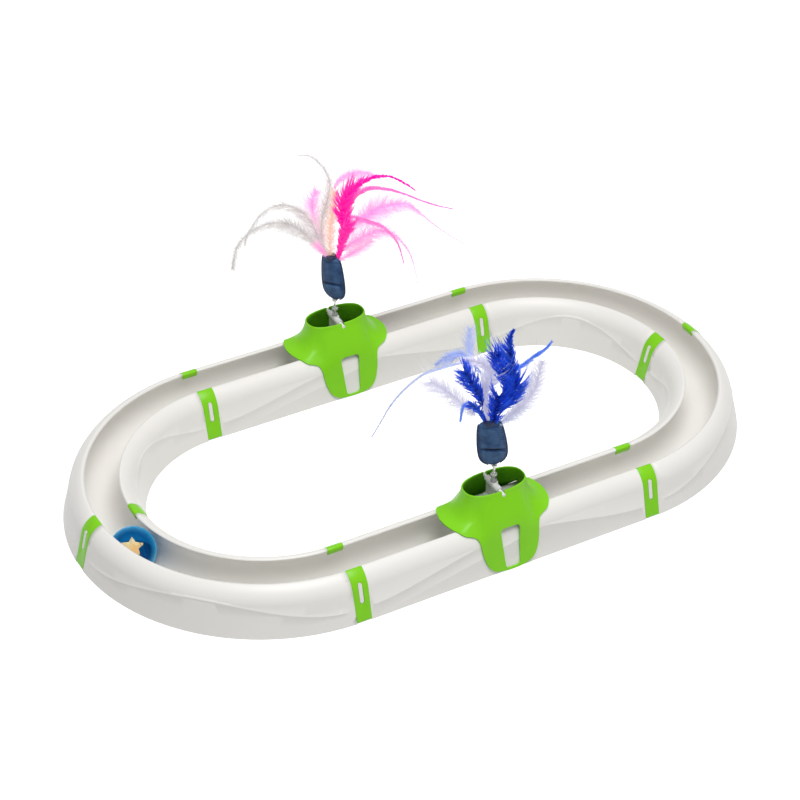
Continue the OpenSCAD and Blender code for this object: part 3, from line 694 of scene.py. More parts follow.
def denim():
    """Washed cotton denim: a blue twill, paler on its ridges, darkened by painted shade in the
    folds.
    """
    material, tree = new_material("washed_cotton_denim")
    place = add_node(tree, "ShaderNodeTexCoord")
    # the twill's diagonal ribs, drawn 1.8 mm apart because the real 0.5 mm is too fine to show
    slant = add_node(tree, "ShaderNodeMapping",
                     {"Rotation": (0, math.radians(60), math.radians(20))},
                     {"Vector": place.outputs["Object"]})
    twill = add_node(tree, "ShaderNodeTexWave",
                     {"wave_type": "BANDS", "bands_direction": "X", "Scale": 175,
                      "Distortion": 0.6, "Detail": 1},
                     {"Vector": slant})
    wash = add_node(tree, "ShaderNodeTexNoise", {"Scale": 130, "Detail": 3, "Roughness": 0.6},
                    {"Vector": place.outputs["Object"]})
    mixed = add_node(tree, "ShaderNodeMath", {"operation": "MULTIPLY_ADD", 1: 0.14},
                     {0: twill.outputs["Fac"], 2: wash.outputs["Fac"]})
    # painted shade and painted light, written on the bag by crease_pod, darken or lighten the wash
    fold = add_node(tree, "ShaderNodeAttribute", {"attribute_name": "fold"})
    wash_with_painted_shade = add_node(tree, "ShaderNodeMath", {"operation": "SUBTRACT", "use_clamp": True},
                    {0: mixed, 1: fold.outputs["Fac"]})
    tone = add_node(tree, "ShaderNodeValToRGB", None, {"Fac": wash_with_painted_shade})
    tone.color_ramp.elements.new(0.5)
    washes = ((0.0, "#0E1A33"), (0.38, "#28436C"), (0.85, "#4D719D"))
    for stop, (share, colour) in zip(tone.color_ramp.elements, washes):
        stop.position, stop.color = share, paint(colour)
    bump = add_node(tree, "ShaderNodeBump", {"Strength": 0.3, "Distance": 0.0003},
                    {"Height": mixed})
    shader = add_node(tree, "ShaderNodeBsdfPrincipled",
                      {"Roughness": 0.85, "Sheen Weight": 0.15, "Sheen Roughness": 0.5,
                       "Specular IOR Level": 0.2},
                      {"Base Color": tone.outputs["Color"], "Normal": bump})
    add_node(tree, "ShaderNodeOutputMaterial", None, {"Surface": shader})
    return material


SIM_SCALE = 20  # the cloth is simulated at this many times the real size
SIM_FRAMES, STUFFING_PRESSURE = 12, 4
PUFF_LIMIT = 0.0011
SEAM_HELD = 0.0004
# before it is stuffed the bag is a little wider at its seam and flatter than its outline,
# and the sphere's poles are drawn out over this share of its radius
SEAM_REACH, FACE_REACH, POLE_SHARE = 1.08, 0.9, 0.3

# the fold across the bag: its height, how far it rises from the bag's middle to its right
# edge, and how far it sags at both edges, as shares of the bag's height
FOLD_HEIGHT, FOLD_SAG = 0.46, 0.07
FOLD_TILT = {"front": -0.055, "back": 0.03}
# bands of cloth along the fold: place above it and reach, as shares of the bag's height,
# then how far the cloth stands out and how much painted shade darkens it (painted light below 0)
FOLD_BANDS = [
    (0, 0.028, -0.0014, 0.62),  # the stitched fold itself
    (-0.075, 0.04, 0.0007, -0.1),  # the bulge below it
    (0.06, 0.035, 0.0005, -0.05),  # the cloth that hangs over it
]
# a broad band of painted light below the fold: how far below, its reach and how much paler
BELLY_BELOW, BELLY_REACH, BELLY_LIGHT = 0.2, 0.13, 0.16
PULL_DEPTH, DRAPE_DEPTH = 0.0004, 0.0005
FOOT_STITCHES, MOUTH_SEAM, STITCH_REACH = 0.1, 0.95, 0.012


def stuffed_pod(side):
    """A sphere drawn out to the bag's outline, then puffed up by cloth pressure."""
    bpy.ops.mesh.primitive_uv_sphere_add(segments=48, ring_count=32, radius=1)
    bag = bpy.context.object
    bag.name = "Pod_" + side
    for vertex in bag.data.vertices:
        direction = vertex.co.normalized()
        height = 0.5 + 0.5 * direction.z
        width, depth = outline_at(height)
        flat = Vector((direction.x, direction.y))
        ring = min(1.0, flat.length / POLE_SHARE)
        flat = flat.normalized() if flat.length > 1e-6 else Vector((0, 0))
        lens = flat.y * math.sqrt(abs(flat.y))
        vertex.co = Vector((
            POD_HALF_WIDTH * width * flat.x * ring * SEAM_REACH,
            POD_HALF_THICKNESS * depth * lens * ring * FACE_REACH,
            (POD_LENGTH + POD_LIP) * height,
        )) * SIM_SCALE
    rest = [v.co.copy() for v in bag.data.vertices]
    # the corded edge holds its line while the two faces are stuffed
    seam = bag.vertex_groups.new(name="seam")
    held = [v.index for v in bag.data.vertices if abs(v.co.y) < SEAM_HELD * SIM_SCALE]
    seam.add(held, 1.0, "REPLACE")
    cloth = bag.modifiers.new("stuffing", "CLOTH")
    cloth.settings.vertex_group_mass = seam.name
    cloth.settings.use_pressure = True
    cloth.settings.uniform_pressure_force = STUFFING_PRESSURE
    cloth.settings.quality = 6
    cloth.settings.effector_weights.gravity = 0
    for step in range(1, SIM_FRAMES + 1):
        scene.frame_set(step)
    bpy.ops.object.modifier_apply(modifier=cloth.name)
    scene.frame_set(1)
    cap = PUFF_LIMIT * SIM_SCALE
    for vertex, before in zip(bag.data.vertices, rest):
        move = vertex.co - before
        if move.length > cap:
            vertex.co = before + move.normalized() * cap
    bag.scale = (1 / SIM_SCALE,) * 3
    bpy.ops.object.transform_apply(location=True, rotation=True, scale=True)
    smoother = bag.modifiers.new("smoother", "SUBSURF")
    smoother.levels = smoother.render_levels = 1
    bpy.ops.object.modifier_apply(modifier=smoother.name)
    return bag


def band(place, middle, reach):
    """1 in the middle of a band across the bag, falling away smoothly past its reach."""
    return math.exp(-((place - middle) / reach) ** 2)


def crease_pod(bag, side):
    """The stitched fold across the lower half, the pulls round it and the mouth's seam, and their
    painted shade.
    """
    shade = bag.data.attributes.new("fold", "FLOAT", "POINT")
    for vertex in bag.data.vertices:
        x, y, z = vertex.co
        height, across = z / POD_LENGTH, x / POD_HALF_WIDTH
        inside = max(0.0, 1 - abs(across) ** 4)
        face = min(1.0, abs(y) / (0.35 * POD_HALF_THICKNESS))
        line = height - FOLD_HEIGHT - FOLD_TILT[side] * across + FOLD_SAG * across ** 2
        bands = [(band(line, middle, reach), out, dark) for middle, reach, out, dark in FOLD_BANDS]
        stitches = band(height, FOOT_STITCHES, STITCH_REACH)
        seam = band(height, MOUTH_SEAM, STITCH_REACH)
        # short pulls hang from the stitches, and one broad wave crosses the upper half
        pulls = math.sin(11 * across + 2) * band(line, -0.15, 0.12)
        drape = math.sin(4.5 * across - 9 * height) * band(height, 0.68, 0.2)
        depth = sum(size * out for size, out, _ in bands)
        depth += PULL_DEPTH * pulls + DRAPE_DEPTH * drape - 0.0003 * stitches
        depth = depth * inside - 0.0005 * seam
        vertex.co.y += depth * face * (1 if y > 0 else -1)
        # painted shade: the cloth is darker in the fold, at the seams, at the foot and towards the
        # piping, and painted light makes it paler on the broad band below the fold
        darker = sum(size * dark for size, _, dark in bands) * inside
        darker += 0.25 * seam + 0.15 * stitches + 0.16 * (height < 0.08)
        darker -= BELLY_LIGHT * band(line, -BELLY_BELOW, BELLY_REACH)
        darker += 0.9 * max(0.0, abs(across) - 0.75)
        shade.data[vertex.index].value = darker * face


pod_denim = denim()
for side in ("front", "back"):
    bag = stuffed_pod(side)
    crease_pod(bag, side)
    bag.data.transform(pod_place(side))
    only(bag)
    bpy.ops.object.shade_smooth()
    wear(bag, pod_denim)
    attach(bag, "swing_" + side)
    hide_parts("pod_" + side)


def twisted_yarn(name, low, high, turns, relief, finish):
    """Twisted or wound yarn, rounded on its turns, with painted shade between them."""
    material, tree = new_material(name)
    place = add_node(tree, "ShaderNodeTexCoord")
    wave = add_node(tree, "ShaderNodeTexWave", {"wave_type": "BANDS", **turns},
                    {"Vector": place.outputs["Object"]})
    tone = add_node(tree, "ShaderNodeMix", {"data_type": "RGBA", 6: paint(low), 7: paint(high)},
                    {0: wave.outputs["Fac"]})
    bump = add_node(tree, "ShaderNodeBump", {"Strength": relief, "Distance": 0.0002},
                    {"Height": wave.outputs["Fac"]})
    shader = add_node(tree, "ShaderNodeBsdfPrincipled", finish,
                      {"Base Color": tone.outputs[2], "Normal": bump})
    add_node(tree, "ShaderNodeOutputMaterial", None, {"Surface": shader})
    return material


def tube_mesh(name, points, radii, sides):
    """A closed tube of the given radii along the points."""
    bm = bmesh.new()
    rings = []
    for i, point in enumerate(points):
        ahead = points[min(i + 1, len(points) - 1)] - points[max(i - 1, 0)]
        turn = ahead.to_track_quat("Z", "Y")
        rings.append([
            bm.verts.new(point + turn @ Vector((
                radii[i] * math.cos(2 * math.pi * k / sides),
                radii[i] * math.sin(2 * math.pi * k / sides), 0)))
            for k in range(sides)])
    skin_rings(bm, rings)
    bm.faces.new(list(reversed(rings[0])))
    bm.faces.new(rings[-1])
    bmesh.ops.recalc_face_normals(bm, faces=bm.faces)
    return mesh_piece(bm, name)


def smooth_course(corners, steps):
    """Points on the smooth line through the corners."""
    last = len(corners) - 1
    course = []
    for i in range(last):
        four = [corners[max(0, min(last, i + k))] for k in (-1, 0, 1, 2)]
        course += [smooth_between(*four, step / steps) for step in range(steps)]
    return course + [corners[last]]


PIPING_RADIUS, PIPING_PLAY = 0.0008, 0.00015
PIPING_STEPS, PIPING_SIDES = 4, 10
# how far each cord's last two corners are let down and drawn in under the bag
PIPING_TUCKS = ((0.0004, 0.0004), (0.0008, 0.0005))
# how thin the cord is trimmed where it ends, as a share, and what each step from there adds
PIPING_END, PIPING_GROWTH = 0.35, 0.11

# navy cord under a woven tape, its slanting turns about 2.4 mm apart
piping_tape = twisted_yarn(
    "corded_navy_tape", "#223150", "#3D5379",
    {"bands_direction": "DIAGONAL", "Scale": 150, "Distortion": 0.4}, 0.5,
    {"Roughness": 0.8, "Sheen Weight": 0.1, "Specular IOR Level": 0.25})
for side in ("front", "back"):
    # a cord on each side, from the mouth's corner to beside the stem's flange
    reach = PIPING_RADIUS + PIPING_PLAY
    edge = [Vector((POD_HALF_WIDTH * width + reach, 0, POD_LENGTH * height))
            for height, width, _ in POD_OUTLINE[:0:-1]]
    for i, (drop, inset) in enumerate(PIPING_TUCKS):
        edge[-2 + i] += Vector((-inset, 0, -drop))
    course = smooth_course(edge, PIPING_STEPS)
    last = len(course) - 1
    radii = [PIPING_RADIUS * min(1, PIPING_END + PIPING_GROWTH * (last - k))
             for k in range(last + 1)]
    cord = tube_mesh("Pod_piping_" + side, course, radii, PIPING_SIDES)
    edit_whole(cord)
    bpy.ops.mesh.duplicate()
    bpy.ops.transform.mirror(constraint_axis=(True, False, False), center_override=(0, 0, 0))
    bpy.ops.mesh.flip_normals()
    bpy.ops.object.mode_set(mode="OBJECT")
    cord.data.transform(pod_place(side))
    bpy.ops.object.shade_smooth_by_angle(angle=math.radians(50))
    wear(cord, piping_tape)
    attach(cord, "swing_" + side)
    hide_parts("pod_piping_" + side)

# ---------------------------------------------------------------- Feathers
# Each pod holds a bunch of dyed and natural cock feathers and down. Every feather is a
# curved quill with barbs on both sides that cling together in pointed tufts, and the
# quills are glued and bound into one plug in the bag's mouth.
MOUTH_RISE = 0.045
ACROSS = Vector((level_right.x, level_right.y, 0)).normalized()
BEHIND = Vector((-ACROSS.y, ACROSS.x, 0))

BARB_STEPS = 4  # lengths of each barb's strip
# per kind: how many layers of barbs, their spacing and width, lean from the quill in degrees
# and its scatter, how much barbs cling, how many cling together, how short the shortest are,
# the quill's radius; lengths in millimetres
KINDS = {
    "plume": (3, 0.13, 0.45, 34, 0.3, 0.45, 9, 0.3, 0.42),
    "vane": (1, 0.17, 0.4, 27, 0.06, 0.12, 5, 0.8, 0.36),
    "down": (3, 0.15, 0.17, 50, 0.45, 0.05, 2, 0.1, 0.2),
    "wisp": (2, 0.14, 0.17, 34, 0.3, 0.15, 3, 0.25, 0.45),
    "tuft": (3, 0.12, 0.45, 38, 0.36, 0.4, 8, 0.3, 0.35),
}
COURSE_STEPS = 9  # lengths of the quill's line from one corner to the next
LEAST_LEAN, MOST_AHEAD = 12, 2.2  # degrees from the quill, and times the barb's reach
HUE_SCATTER = 0.15


def dyed_barbs(name, root, tip, other, through, veil, glow):
    """Dyed feather: soft and matt, paler at the barbs' tips, lit through from behind, and glowing a
    little in its own colour as painted light.
    """
    material, tree = new_material(name)
    along = add_node(tree, "ShaderNodeAttribute", {"attribute_name": "barb"})
    tint = add_node(tree, "ShaderNodeAttribute", {"attribute_name": "tint"})
    place = add_node(tree, "ShaderNodeTexCoord")
    # patches of uneven dye, about 8 mm across
    patch = add_node(tree, "ShaderNodeTexNoise", {"Scale": 125, "Detail": 2},
                     {"Vector": place.outputs["Object"]})
    uneven = add_node(tree, "ShaderNodeMath", {"operation": "MULTIPLY_ADD", 1: 1.5, 2: -0.75},
                      {0: patch.outputs["Fac"]})
    fade = add_node(tree, "ShaderNodeMath", {"operation": "ADD", "use_clamp": True},
                    {0: along.outputs["Fac"], 1: uneven})
    dyed = add_node(tree, "ShaderNodeMix", {"data_type": "RGBA", 6: paint(root), 7: paint(tip)},
                    {0: fade})
    tone = add_node(tree, "ShaderNodeMix", {"data_type": "RGBA", 7: paint(other)},
                    {0: tint.outputs["Fac"], 6: dyed.outputs[2]})
    # the glow is painted light that brightens the barbs in their own colour
    face = add_node(tree, "ShaderNodeBsdfPrincipled",
                    {"Roughness": 0.8, "Specular IOR Level": 0.15, "Emission Strength": glow},
                    {"Base Color": tone.outputs[2], "Emission Color": tone.outputs[2]})
    back = add_node(tree, "ShaderNodeBsdfTranslucent", None, {"Color": tone.outputs[2]})
    lit = add_node(tree, "ShaderNodeMixShader", {0: through},
                   {1: face, 2: back})
    clear = add_node(tree, "ShaderNodeBsdfTransparent")
    # barbs thin out to their tips, and down is so fine that what is behind it shows
    thin = add_node(tree, "ShaderNodeMath",
                    {"operation": "MULTIPLY_ADD", 1: 0.25 + 0.3 * veil, 2: veil, "use_clamp": True},
                    {0: along.outputs["Fac"]})
    part = add_node(tree, "ShaderNodeMixShader", None,
                    {0: thin, 1: lit, 2: clear})
    add_node(tree, "ShaderNodeOutputMaterial", None, {"Surface": part})
    return material


def add_barb(bm, layers, tint, start, knee, end, width, flat):
    """One barb: a narrow strip along a bent line that tapers to a point."""
    row = []
    for k in range(BARB_STEPS + 1):
        t = k / BARB_STEPS
        point = start * (1 - t) ** 2 + knee * 2 * t * (1 - t) + end * t * t
        way = (knee - start) * (1 - t) + (end - knee) * t
        side = way.cross(flat).normalized() * (0.5 * width * (1 - t) ** 0.6)
        row.append([bm.verts.new(point)] if k == BARB_STEPS else
                   [bm.verts.new(point - side), bm.verts.new(point + side)])
        for vertex in row[-1]:
            vertex[layers[0]], vertex[layers[1]] = t, tint
    for low, high in zip(row, row[1:]):
        bm.faces.new((low[0], low[1], *reversed(high)))


def add_quill(bm, layers, tint, course, radius):
    """A four-sided quill along the course, tapering to a hair."""
    last = len(course) - 1
    rings = []
    for i, point in enumerate(course):
        turn = (course[min(i + 1, last)] - course[max(i - 1, 0)]).to_track_quat("Z", "Y")
        size = radius * (1 - 0.85 * i / last)
        rings.append([bm.verts.new(point + turn @ Vector(
            (size * math.cos(math.pi * k / 2), size * math.sin(math.pi * k / 2), 0)))
            for k in range(4)])
        for vertex in rings[-1]:
            vertex[layers[0]], vertex[layers[1]] = 0.1, 0.7 * tint
    skin_rings(bm, rings)


def add_feather(bm, layers, rng, feather, mouth):
    """A quill along its course, with barbs whose reach on either side varies along it."""
    kind, tint, depth, bare, corners, left, right = feather
    layers_deep, spacing, width, lean, scatter, cling, clump, shortest, radius = KINDS[kind]
    places = []
    for i, (across_mm, up) in enumerate(corners):
        # the course is read from the front; the feather also leans away or nearer on its way
        far = depth * (i / (len(corners) - 1)) ** 1.3
        rise = (up - far * math.sin(VIEW_ELEVATION)) / math.cos(VIEW_ELEVATION)
        places.append(mouth + (ACROSS * across_mm + BEHIND * far + Vector((0, 0, rise))) / 1000)
    course = smooth_course(places, COURSE_STEPS)
    last = len(course) - 1
    add_quill(bm, layers, tint, course, radius / 1000)
    total = 1000 * sum((b - a).length for a, b in zip(course, course[1:]))
    facing = (camera.location - mouth).normalized()
    twist = rng.uniform(-0.4, 0.4)
    count = int(total * (1 - bare) / spacing)
    for hand, sizes in ((-1, left), (1, right)) * layers_deep:
        n = 0
        while n < count:
            # barbs that cling together share a tip
            group = min(max(1, round(rng.gauss(clump, clump / 3))), count - n)
            stretch = rng.uniform(shortest, 1.15)
            tilt = math.radians(max(LEAST_LEAN, lean * rng.gauss(1, scatter)))
            out = twist + rng.gauss(0, 0.35 + 0.8 * scatter)
            hue = min(1, max(0, tint + rng.gauss(0, HUE_SCATTER)))
            common = None
            for k in list(range(group // 2, group)) + list(range(group // 2)):
                s = (n + k + rng.random() * 0.6) / count
                t = bare + (1 - bare) * s
                i = min(int(t * last), last - 1)
                start = course[i].lerp(course[i + 1], t * last - i)
                along = (course[min(i + 2, last)] - course[max(i - 1, 0)]).normalized()
                across = along.cross(facing).normalized() * hand
                flat = across.cross(along)
                across = (across + flat * (out + rng.gauss(0, 0.1))).normalized()
                j = min(int(s * (len(sizes) - 1)), len(sizes) - 2)
                reach = sizes[j] + (sizes[j + 1] - sizes[j]) * (s * (len(sizes) - 1) - j)
                reach *= stretch * rng.uniform(0.9, 1.2) / 1000
                ahead = reach * min(MOST_AHEAD, 1 / math.tan(tilt))
                end = start + across * reach + along * ahead
                if common is None:
                    common = end.copy()
                end = end.lerp(common, cling * rng.uniform(0.6, 1))
                knee = start + across * (0.6 * reach) + along * (0.35 * ahead)
                strip = width / 1000 * rng.uniform(0.7, 1.2)
                add_barb(bm, layers, hue, start, knee, end, strip, flat)
            n += group


def feather_bunch(node, side, finish, seed, feathers):
    """All the feathers of one colour in a pod's mouth, as one piece."""
    rng = random.Random(seed)
    mouth = pod_place(side) @ Vector((0, 0, MOUTH_RISE))
    bm = bmesh.new()
    layers = [bm.verts.layers.float.new("barb"), bm.verts.layers.float.new("tint")]
    for feather in feathers:
        add_feather(bm, layers, rng, feather, mouth)
    bunch = mesh_piece(bm, node.capitalize())
    wear(bunch, finish)
    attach(bunch, "swing_" + side)
    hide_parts(node)


# each feather: its kind, how far its colour goes to the third one, how far its tip lies
# behind the mouth, its bare share, its course as seen from the front in millimetres right
# of and above the mouth's middle, and the barbs' reach left and right, root to tip
feather_bunch(
    "feathers_hot_pink", "back",
    dyed_barbs("dyed_hot_pink_plume", "#FF00C2", "#FF40CC", "#FBA8DC", 0.35, 0.0, 0.35), 11, [
        ("plume", 0, -8, 0.02,
         [(5, -3), (7.5, 6), (10, 16), (11, 26), (9.5, 37), (11.5, 47), (17.5, 55.5),
          (26, 61.5), (38, 67), (52, 68), (66, 62), (74, 57)],
         [2, 4, 4, 5, 7, 9, 9, 8, 5, 2.5, 1.6, 1.3, 1, 0.5],
         [2, 4, 6, 9, 12, 11, 7, 4, 2.2, 1.6, 1.3, 1.1, 0.9, 0.5]),
        ("tuft", 0.15, -10, 0.1, [(5, -3), (8, 8), (10, 18), (14, 27)], [2, 3, 4, 4], [2, 5, 8, 7]),
        ("vane", 0.75, 14, 0.12,
         [(5, -3), (8, 12), (12, 30), (18, 48), (25.5, 56), (36, 59.5), (50.5, 59), (65, 55.5),
          (79.5, 50.5), (94, 46.5), (108, 44)],
         [1, 2, 3, 2, 1.2, 0.9, 0.7, 0.5], [1, 2, 3, 2, 1.4, 1, 0.8, 0.5]),
        ("vane", 0.85, -12, 0.1,
         [(4, -3), (8, 12), (12, 28), (18, 34.5), (25.5, 33.5), (36, 30.5), (46, 26.5),
          (54.5, 19), (60.5, 10), (65, -4.5)],
         [1, 1.5, 1.8, 1.5, 1.2, 1, 0.5], [1, 2, 3, 2.5, 1.6, 1, 0.6]),
    ])
feather_bunch(
    "feathers_pale_pink", "back",
    dyed_barbs("dyed_pale_pink_down", "#FFB4E4", "#FFD6F2", "#FFC8E4", 0.45, 0.34, 0.45), 12, [
        ("down", 0, 18, 0.12,
         [(5, -3), (12, 14), (19, 28), (30, 35), (40, 42), (54.5, 46.5), (68, 47), (79.5, 39.5),
          (94, 29), (111.5, 18.5), (130, 9)],
         [6, 12, 17, 18, 12, 7, 3, 1.6, 1, 0.8, 0.5], [6, 12, 18, 20, 15, 9, 5, 2, 1, 0.8, 0.5]),
        ("down", 0.3, -14, 0.1,
         [(5, -3), (12, 8), (22, 15), (33, 20), (44.5, 23.5), (57.5, 18.5), (68, 7.5),
          (73.5, -4.5), (77.5, -22)],
         [6, 12, 15, 12, 7, 3, 1.6, 1, 0.6], [7, 14, 16, 12, 7, 3, 1.6, 1, 0.6]),
        ("down", 0, 16, 0.3, [(2, -3), (-4, 6), (-10, 22), (-16, 37), (-17, 49), (-13, 58)],
         [4, 9, 15, 16, 12, 6], [4, 9, 13, 13, 9, 4]),
        ("down", 0.4, 22, 0.45,
         [(3, -3), (2, 20), (0, 45), (5, 64), (17, 72), (31, 73.5), (43, 70)],
         [2, 5, 7, 5, 3, 1.5], [4, 8, 9, 7, 4, 1.5]),
        ("down", 0.2, -6, 0.2, [(-1, -3), (-6, 4), (-10, 8), (-14, 12)],
         [4, 8, 8, 4], [4, 6, 6, 3]),
        ("down", 0.2, 10, 0.1, [(4, -3), (14, 2), (24, 8), (36, 16)],
         [5, 10, 12, 7], [4, 8, 10, 6]),
    ])
feather_bunch(
    "feathers_white", "back",
    dyed_barbs("natural_white_feather", "#D9D8D8", "#F4F3F3", "#FBE0D0", 0.35, 0.3, 0.25), 13, [
        ("wisp", 0, 14, 0.04,
         [(0, -3), (-6, 8), (-8.5, 20), (-8, 33), (-5, 43), (-2, 54), (-1, 64), (-5, 74.5),
          (-12.5, 82.5), (-19.5, 86.5), (-28.5, 87)],
         [3, 6, 8, 9, 8, 6, 4, 2.5, 2, 1.6, 0.8], [3, 5, 7, 8, 7, 5, 4, 3, 2, 1.6, 0.8]),
        ("wisp", 0, -10, 0.04,
         [(-1, -3), (-6, 6), (-11, 16), (-16, 28), (-22.5, 36.5), (-31.5, 41.5), (-41.5, 44),
          (-52, 41.5), (-62, 35), (-69, 26), (-75, 16), (-76.5, 9)],
         [5, 10, 14, 12, 9, 6, 5, 4, 3, 1.5], [3, 5, 6, 6, 5, 4, 3, 2.5, 2, 1]),
        ("down", 0, 6, 0.08,
         [(-2, -3), (-12, 10), (-23, 20), (-34, 27), (-44.5, 29.5), (-59, 28), (-73.5, 20.5),
          (-84, 10), (-88, -1.5), (-89.5, -10)],
         [8, 16, 18, 14, 8, 6, 5, 6, 6, 3], [8, 13, 13, 10, 6, 4, 4, 4, 4, 2]),
        ("down", 1, 4, 0.05, [(0, -3), (-1, 14), (0, 30), (3, 44), (4, 56)],
         [6, 10, 11, 9, 5], [6, 9, 9, 8, 5]),
    ])
feather_bunch(
    "feathers_royal_blue", "front",
    dyed_barbs("dyed_royal_blue_plume", "#05209C", "#2760EE", "#6AA0F4", 0.3, 0.0, 0.3), 21, [
        ("plume", 0.12, -6, 0.2,
         [(3, -2), (9, 8), (15, 17), (19, 27), (18, 39), (15, 54), (13.5, 66), (16, 74)],
         [5, 9, 15, 19, 18, 11, 5, 2, 0.8], [6, 9, 10, 8, 5, 4, 3, 2, 0.8]),
        ("plume", 0, -10, 0.25, [(4, -2), (10, 12), (14, 24), (12, 36), (6, 48), (1, 56)],
         [4, 8, 9, 8, 6, 2], [5, 9, 11, 9, 6, 3]),
        ("tuft", 0, -9, 0.02, [(3, -2), (4, 6), (5.5, 14), (6.5, 22)],
         [3, 7, 10, 10, 8], [4, 8, 11, 11, 8]),
        ("plume", 0.1, -8, 0.3, [(-1, -2), (-5, 8), (-8, 18), (-12, 26), (-17, 34), (-22, 41)],
         [3, 6, 10, 10, 6], [3, 6, 9, 8, 5]),
        ("tuft", 0.25, -6, 0.1, [(-2, -2), (-6, 6), (-11, 12), (-17, 15)],
         [2, 3.5, 5, 3], [2, 3, 4, 2]),
    ])
feather_bunch(
    "feathers_light_blue", "front",
    dyed_barbs("dyed_light_blue_feather", "#5285E6", "#96B6F4", "#D6DDF2", 0.4, 0.16, 0.28), 22, [
        ("wisp", 0.7, 16, 0.3,
         [(0, -2), (-2, 18), (-7, 38), (-18, 51), (-24, 55), (-29.5, 54.5), (-36.5, 52),
          (-44.5, 46.5)],
         [3, 5, 7, 9, 8, 5, 2], [1.5, 2.5, 4, 5, 4, 3, 1]),
        ("vane", 0, 8, 0.3,
         [(2, -2), (8, 14), (13, 28), (18, 41), (26, 47.5), (35, 54.5), (43, 60), (47.5, 65.5)],
         [1, 1.6, 1.8, 1.6, 1.2, 0.8], [1.2, 2, 2.6, 2, 1.2, 0.8]),
        ("wisp", 1, 12, 0.5, [(0, -2), (-5, 22), (-12, 42), (-17, 54), (-18, 64), (-17.5, 75)],
         [4, 6, 7, 5, 2], [4, 6, 7, 5, 2]),
        ("vane", 0.1, -10, 0.3, [(-3, -2), (-10, 9), (-17, 16), (-22, 12), (-24, 1)],
         [1, 1.5, 1.5, 0.8], [1, 1.5, 1.5, 0.8]),
    ])
feather_bunch(
    "feathers_ivory", "front",
    dyed_barbs("natural_ivory_feather", "#D9D7E4", "#F3F2F8", "#C2CDEA", 0.4, 0.28, 0.32), 23, [
        ("plume", 0, -2, 0.03,
         [(0, -2), (-3, 9), (-6, 20), (-4, 32), (-2, 40), (-7, 46.5), (-16, 49), (-25, 49)],
         [2, 4, 6, 7, 7, 6, 5, 3, 1], [3, 6, 10, 15, 16, 11, 6, 3, 1]),
        ("vane", 0.8, 10, 0.2,
         [(0, -2), (0, 16), (2, 32), (-4, 45), (-16, 49), (-28.5, 47), (-40, 43.5), (-51, 40),
          (-60.5, 34), (-70.5, 25), (-77.5, 17), (-83, 9), (-90, -3.5), (-95.5, -12.5)],
         [1.2, 1.5, 1.5, 1.2, 1, 0.8, 0.5], [1.2, 1.5, 1.5, 1.2, 1, 0.8, 0.5]),
        ("down", 0, 12, 0.2, [(4, -2), (14, 5), (25, 13), (34, 24), (38, 36), (41, 50)],
         [6, 13, 16, 15, 11, 5], [6, 10, 13, 13, 10, 5]),
        ("down", 0, 10, 0.2, [(-3, -2), (-14, 8), (-26, 18), (-38, 27), (-48, 33)],
         [8, 15, 19, 17, 9], [7, 12, 14, 12, 6]),
        ("down", 0.5, 8, 0.1, [(4, -2), (12, 2), (20, 7), (29, 14)], [5, 9, 11, 6], [4, 8, 9, 5]),
    ])

# waxed navy thread wound round the glued quills, its turns about 1.5 mm apart
thread = twisted_yarn(
    "waxed_binding_thread", "#141E38", "#26365A",
    {"bands_direction": "Z", "Scale": 200, "Distortion": 0.5}, 0.6, {"Roughness": 0.6})
for side in ("front", "back"):
    plug = own_copy("quill_binding_" + side, "Quill_binding_" + side)
    soften_edges(plug, width=0.0006, crease=50)
    wear(plug, thread)
    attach(plug, "swing_" + side)
    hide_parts("quill_binding_" + side)

# ---------------------------------------------------------------- Floor and light
# A white table top under a broad overhead softbox, with even light from all round.
SOFTBOX_PLACE = (-0.1, -0.6, 2.0)
SOFTBOX_SIZE, SOFTBOX_POWER = 1.2, 27  # metres and watts
SKY_LIGHT, SKY_SEEN = 0.45, 1.0
TABLE_SIZE, TABLE_GLOW = 12, 0.9


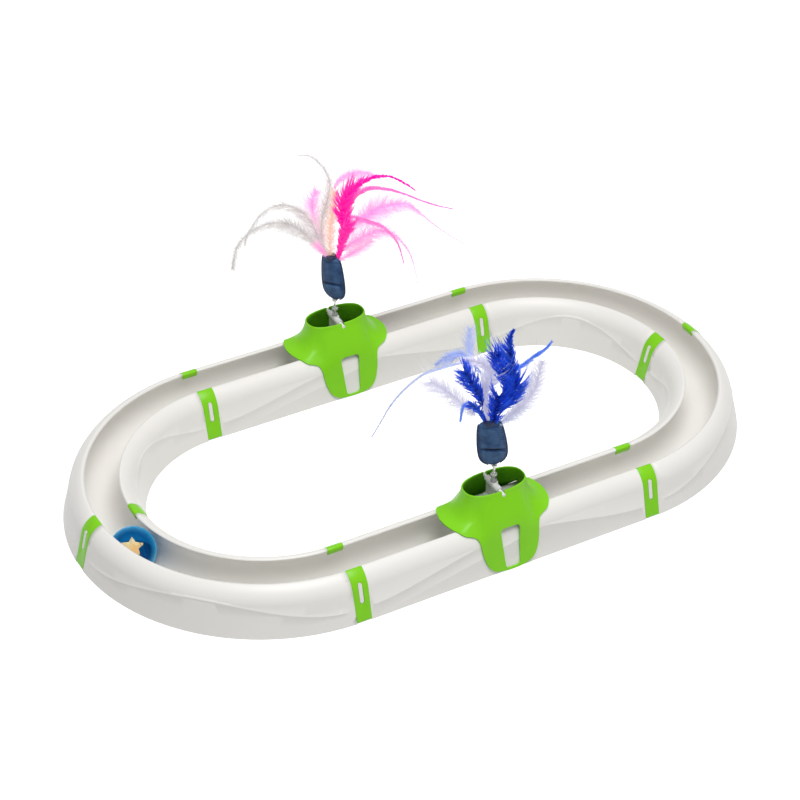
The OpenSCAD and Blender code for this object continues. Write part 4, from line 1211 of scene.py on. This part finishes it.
def white_table():
    """Matt white card: half of what the camera sees is plain white, so only shadows show."""
    material, tree = new_material("matt_white_card")
    path = add_node(tree, "ShaderNodeLightPath")
    seen = add_node(tree, "ShaderNodeMath", {"operation": "MAXIMUM"},
                    {0: path.outputs["Is Camera Ray"], 1: path.outputs["Is Glossy Ray"]})
    seen = add_node(tree, "ShaderNodeMath", {"operation": "MAXIMUM"},
                    {0: seen, 1: path.outputs["Is Transmission Ray"]})
    card = add_node(tree, "ShaderNodeBsdfDiffuse", {"Color": (0.5, 0.5, 0.5, 1)})
    glow = add_node(tree, "ShaderNodeEmission", {"Color": (1, 1, 1, 1), "Strength": TABLE_GLOW})
    dark = add_node(tree, "ShaderNodeEmission", {"Strength": 0.0})
    chosen = add_node(tree, "ShaderNodeMixShader", None,
                      {0: seen, 1: dark, 2: glow})
    both = add_node(tree, "ShaderNodeAddShader", None, {0: card, 1: chosen})
    add_node(tree, "ShaderNodeOutputMaterial", None, {"Surface": both})
    return material


bpy.ops.object.select_all(action="DESELECT")
bpy.ops.mesh.primitive_plane_add(size=TABLE_SIZE, location=(0, 0, 0))
table = bpy.context.object
table.name = "White_table"
wear(table, white_table())

world = bpy.data.worlds.new("Studio")
world.use_nodes = True
scene.world = world
tree = world.node_tree
tree.nodes.clear()
path = add_node(tree, "ShaderNodeLightPath")
around = add_node(tree, "ShaderNodeBackground",
                  {"Color": (1, 1, 1, 1), "Strength": SKY_LIGHT})
backdrop = add_node(tree, "ShaderNodeBackground",
                    {"Color": (1, 1, 1, 1), "Strength": SKY_SEEN})
chosen = add_node(tree, "ShaderNodeMixShader", None,
                  {0: path.outputs["Is Camera Ray"], 1: around, 2: backdrop})
add_node(tree, "ShaderNodeOutputWorld", None, {"Surface": chosen})

bpy.ops.object.light_add(type="AREA", location=SOFTBOX_PLACE)
softbox = bpy.context.object
softbox.name = "Softbox"
softbox.data.shape = "DISK"
softbox.data.size = SOFTBOX_SIZE
softbox.data.energy = SOFTBOX_POWER
softbox.rotation_euler = (-softbox.location).to_track_quat("-Z", "Y").to_euler()

scene.view_settings.view_transform = "Standard"
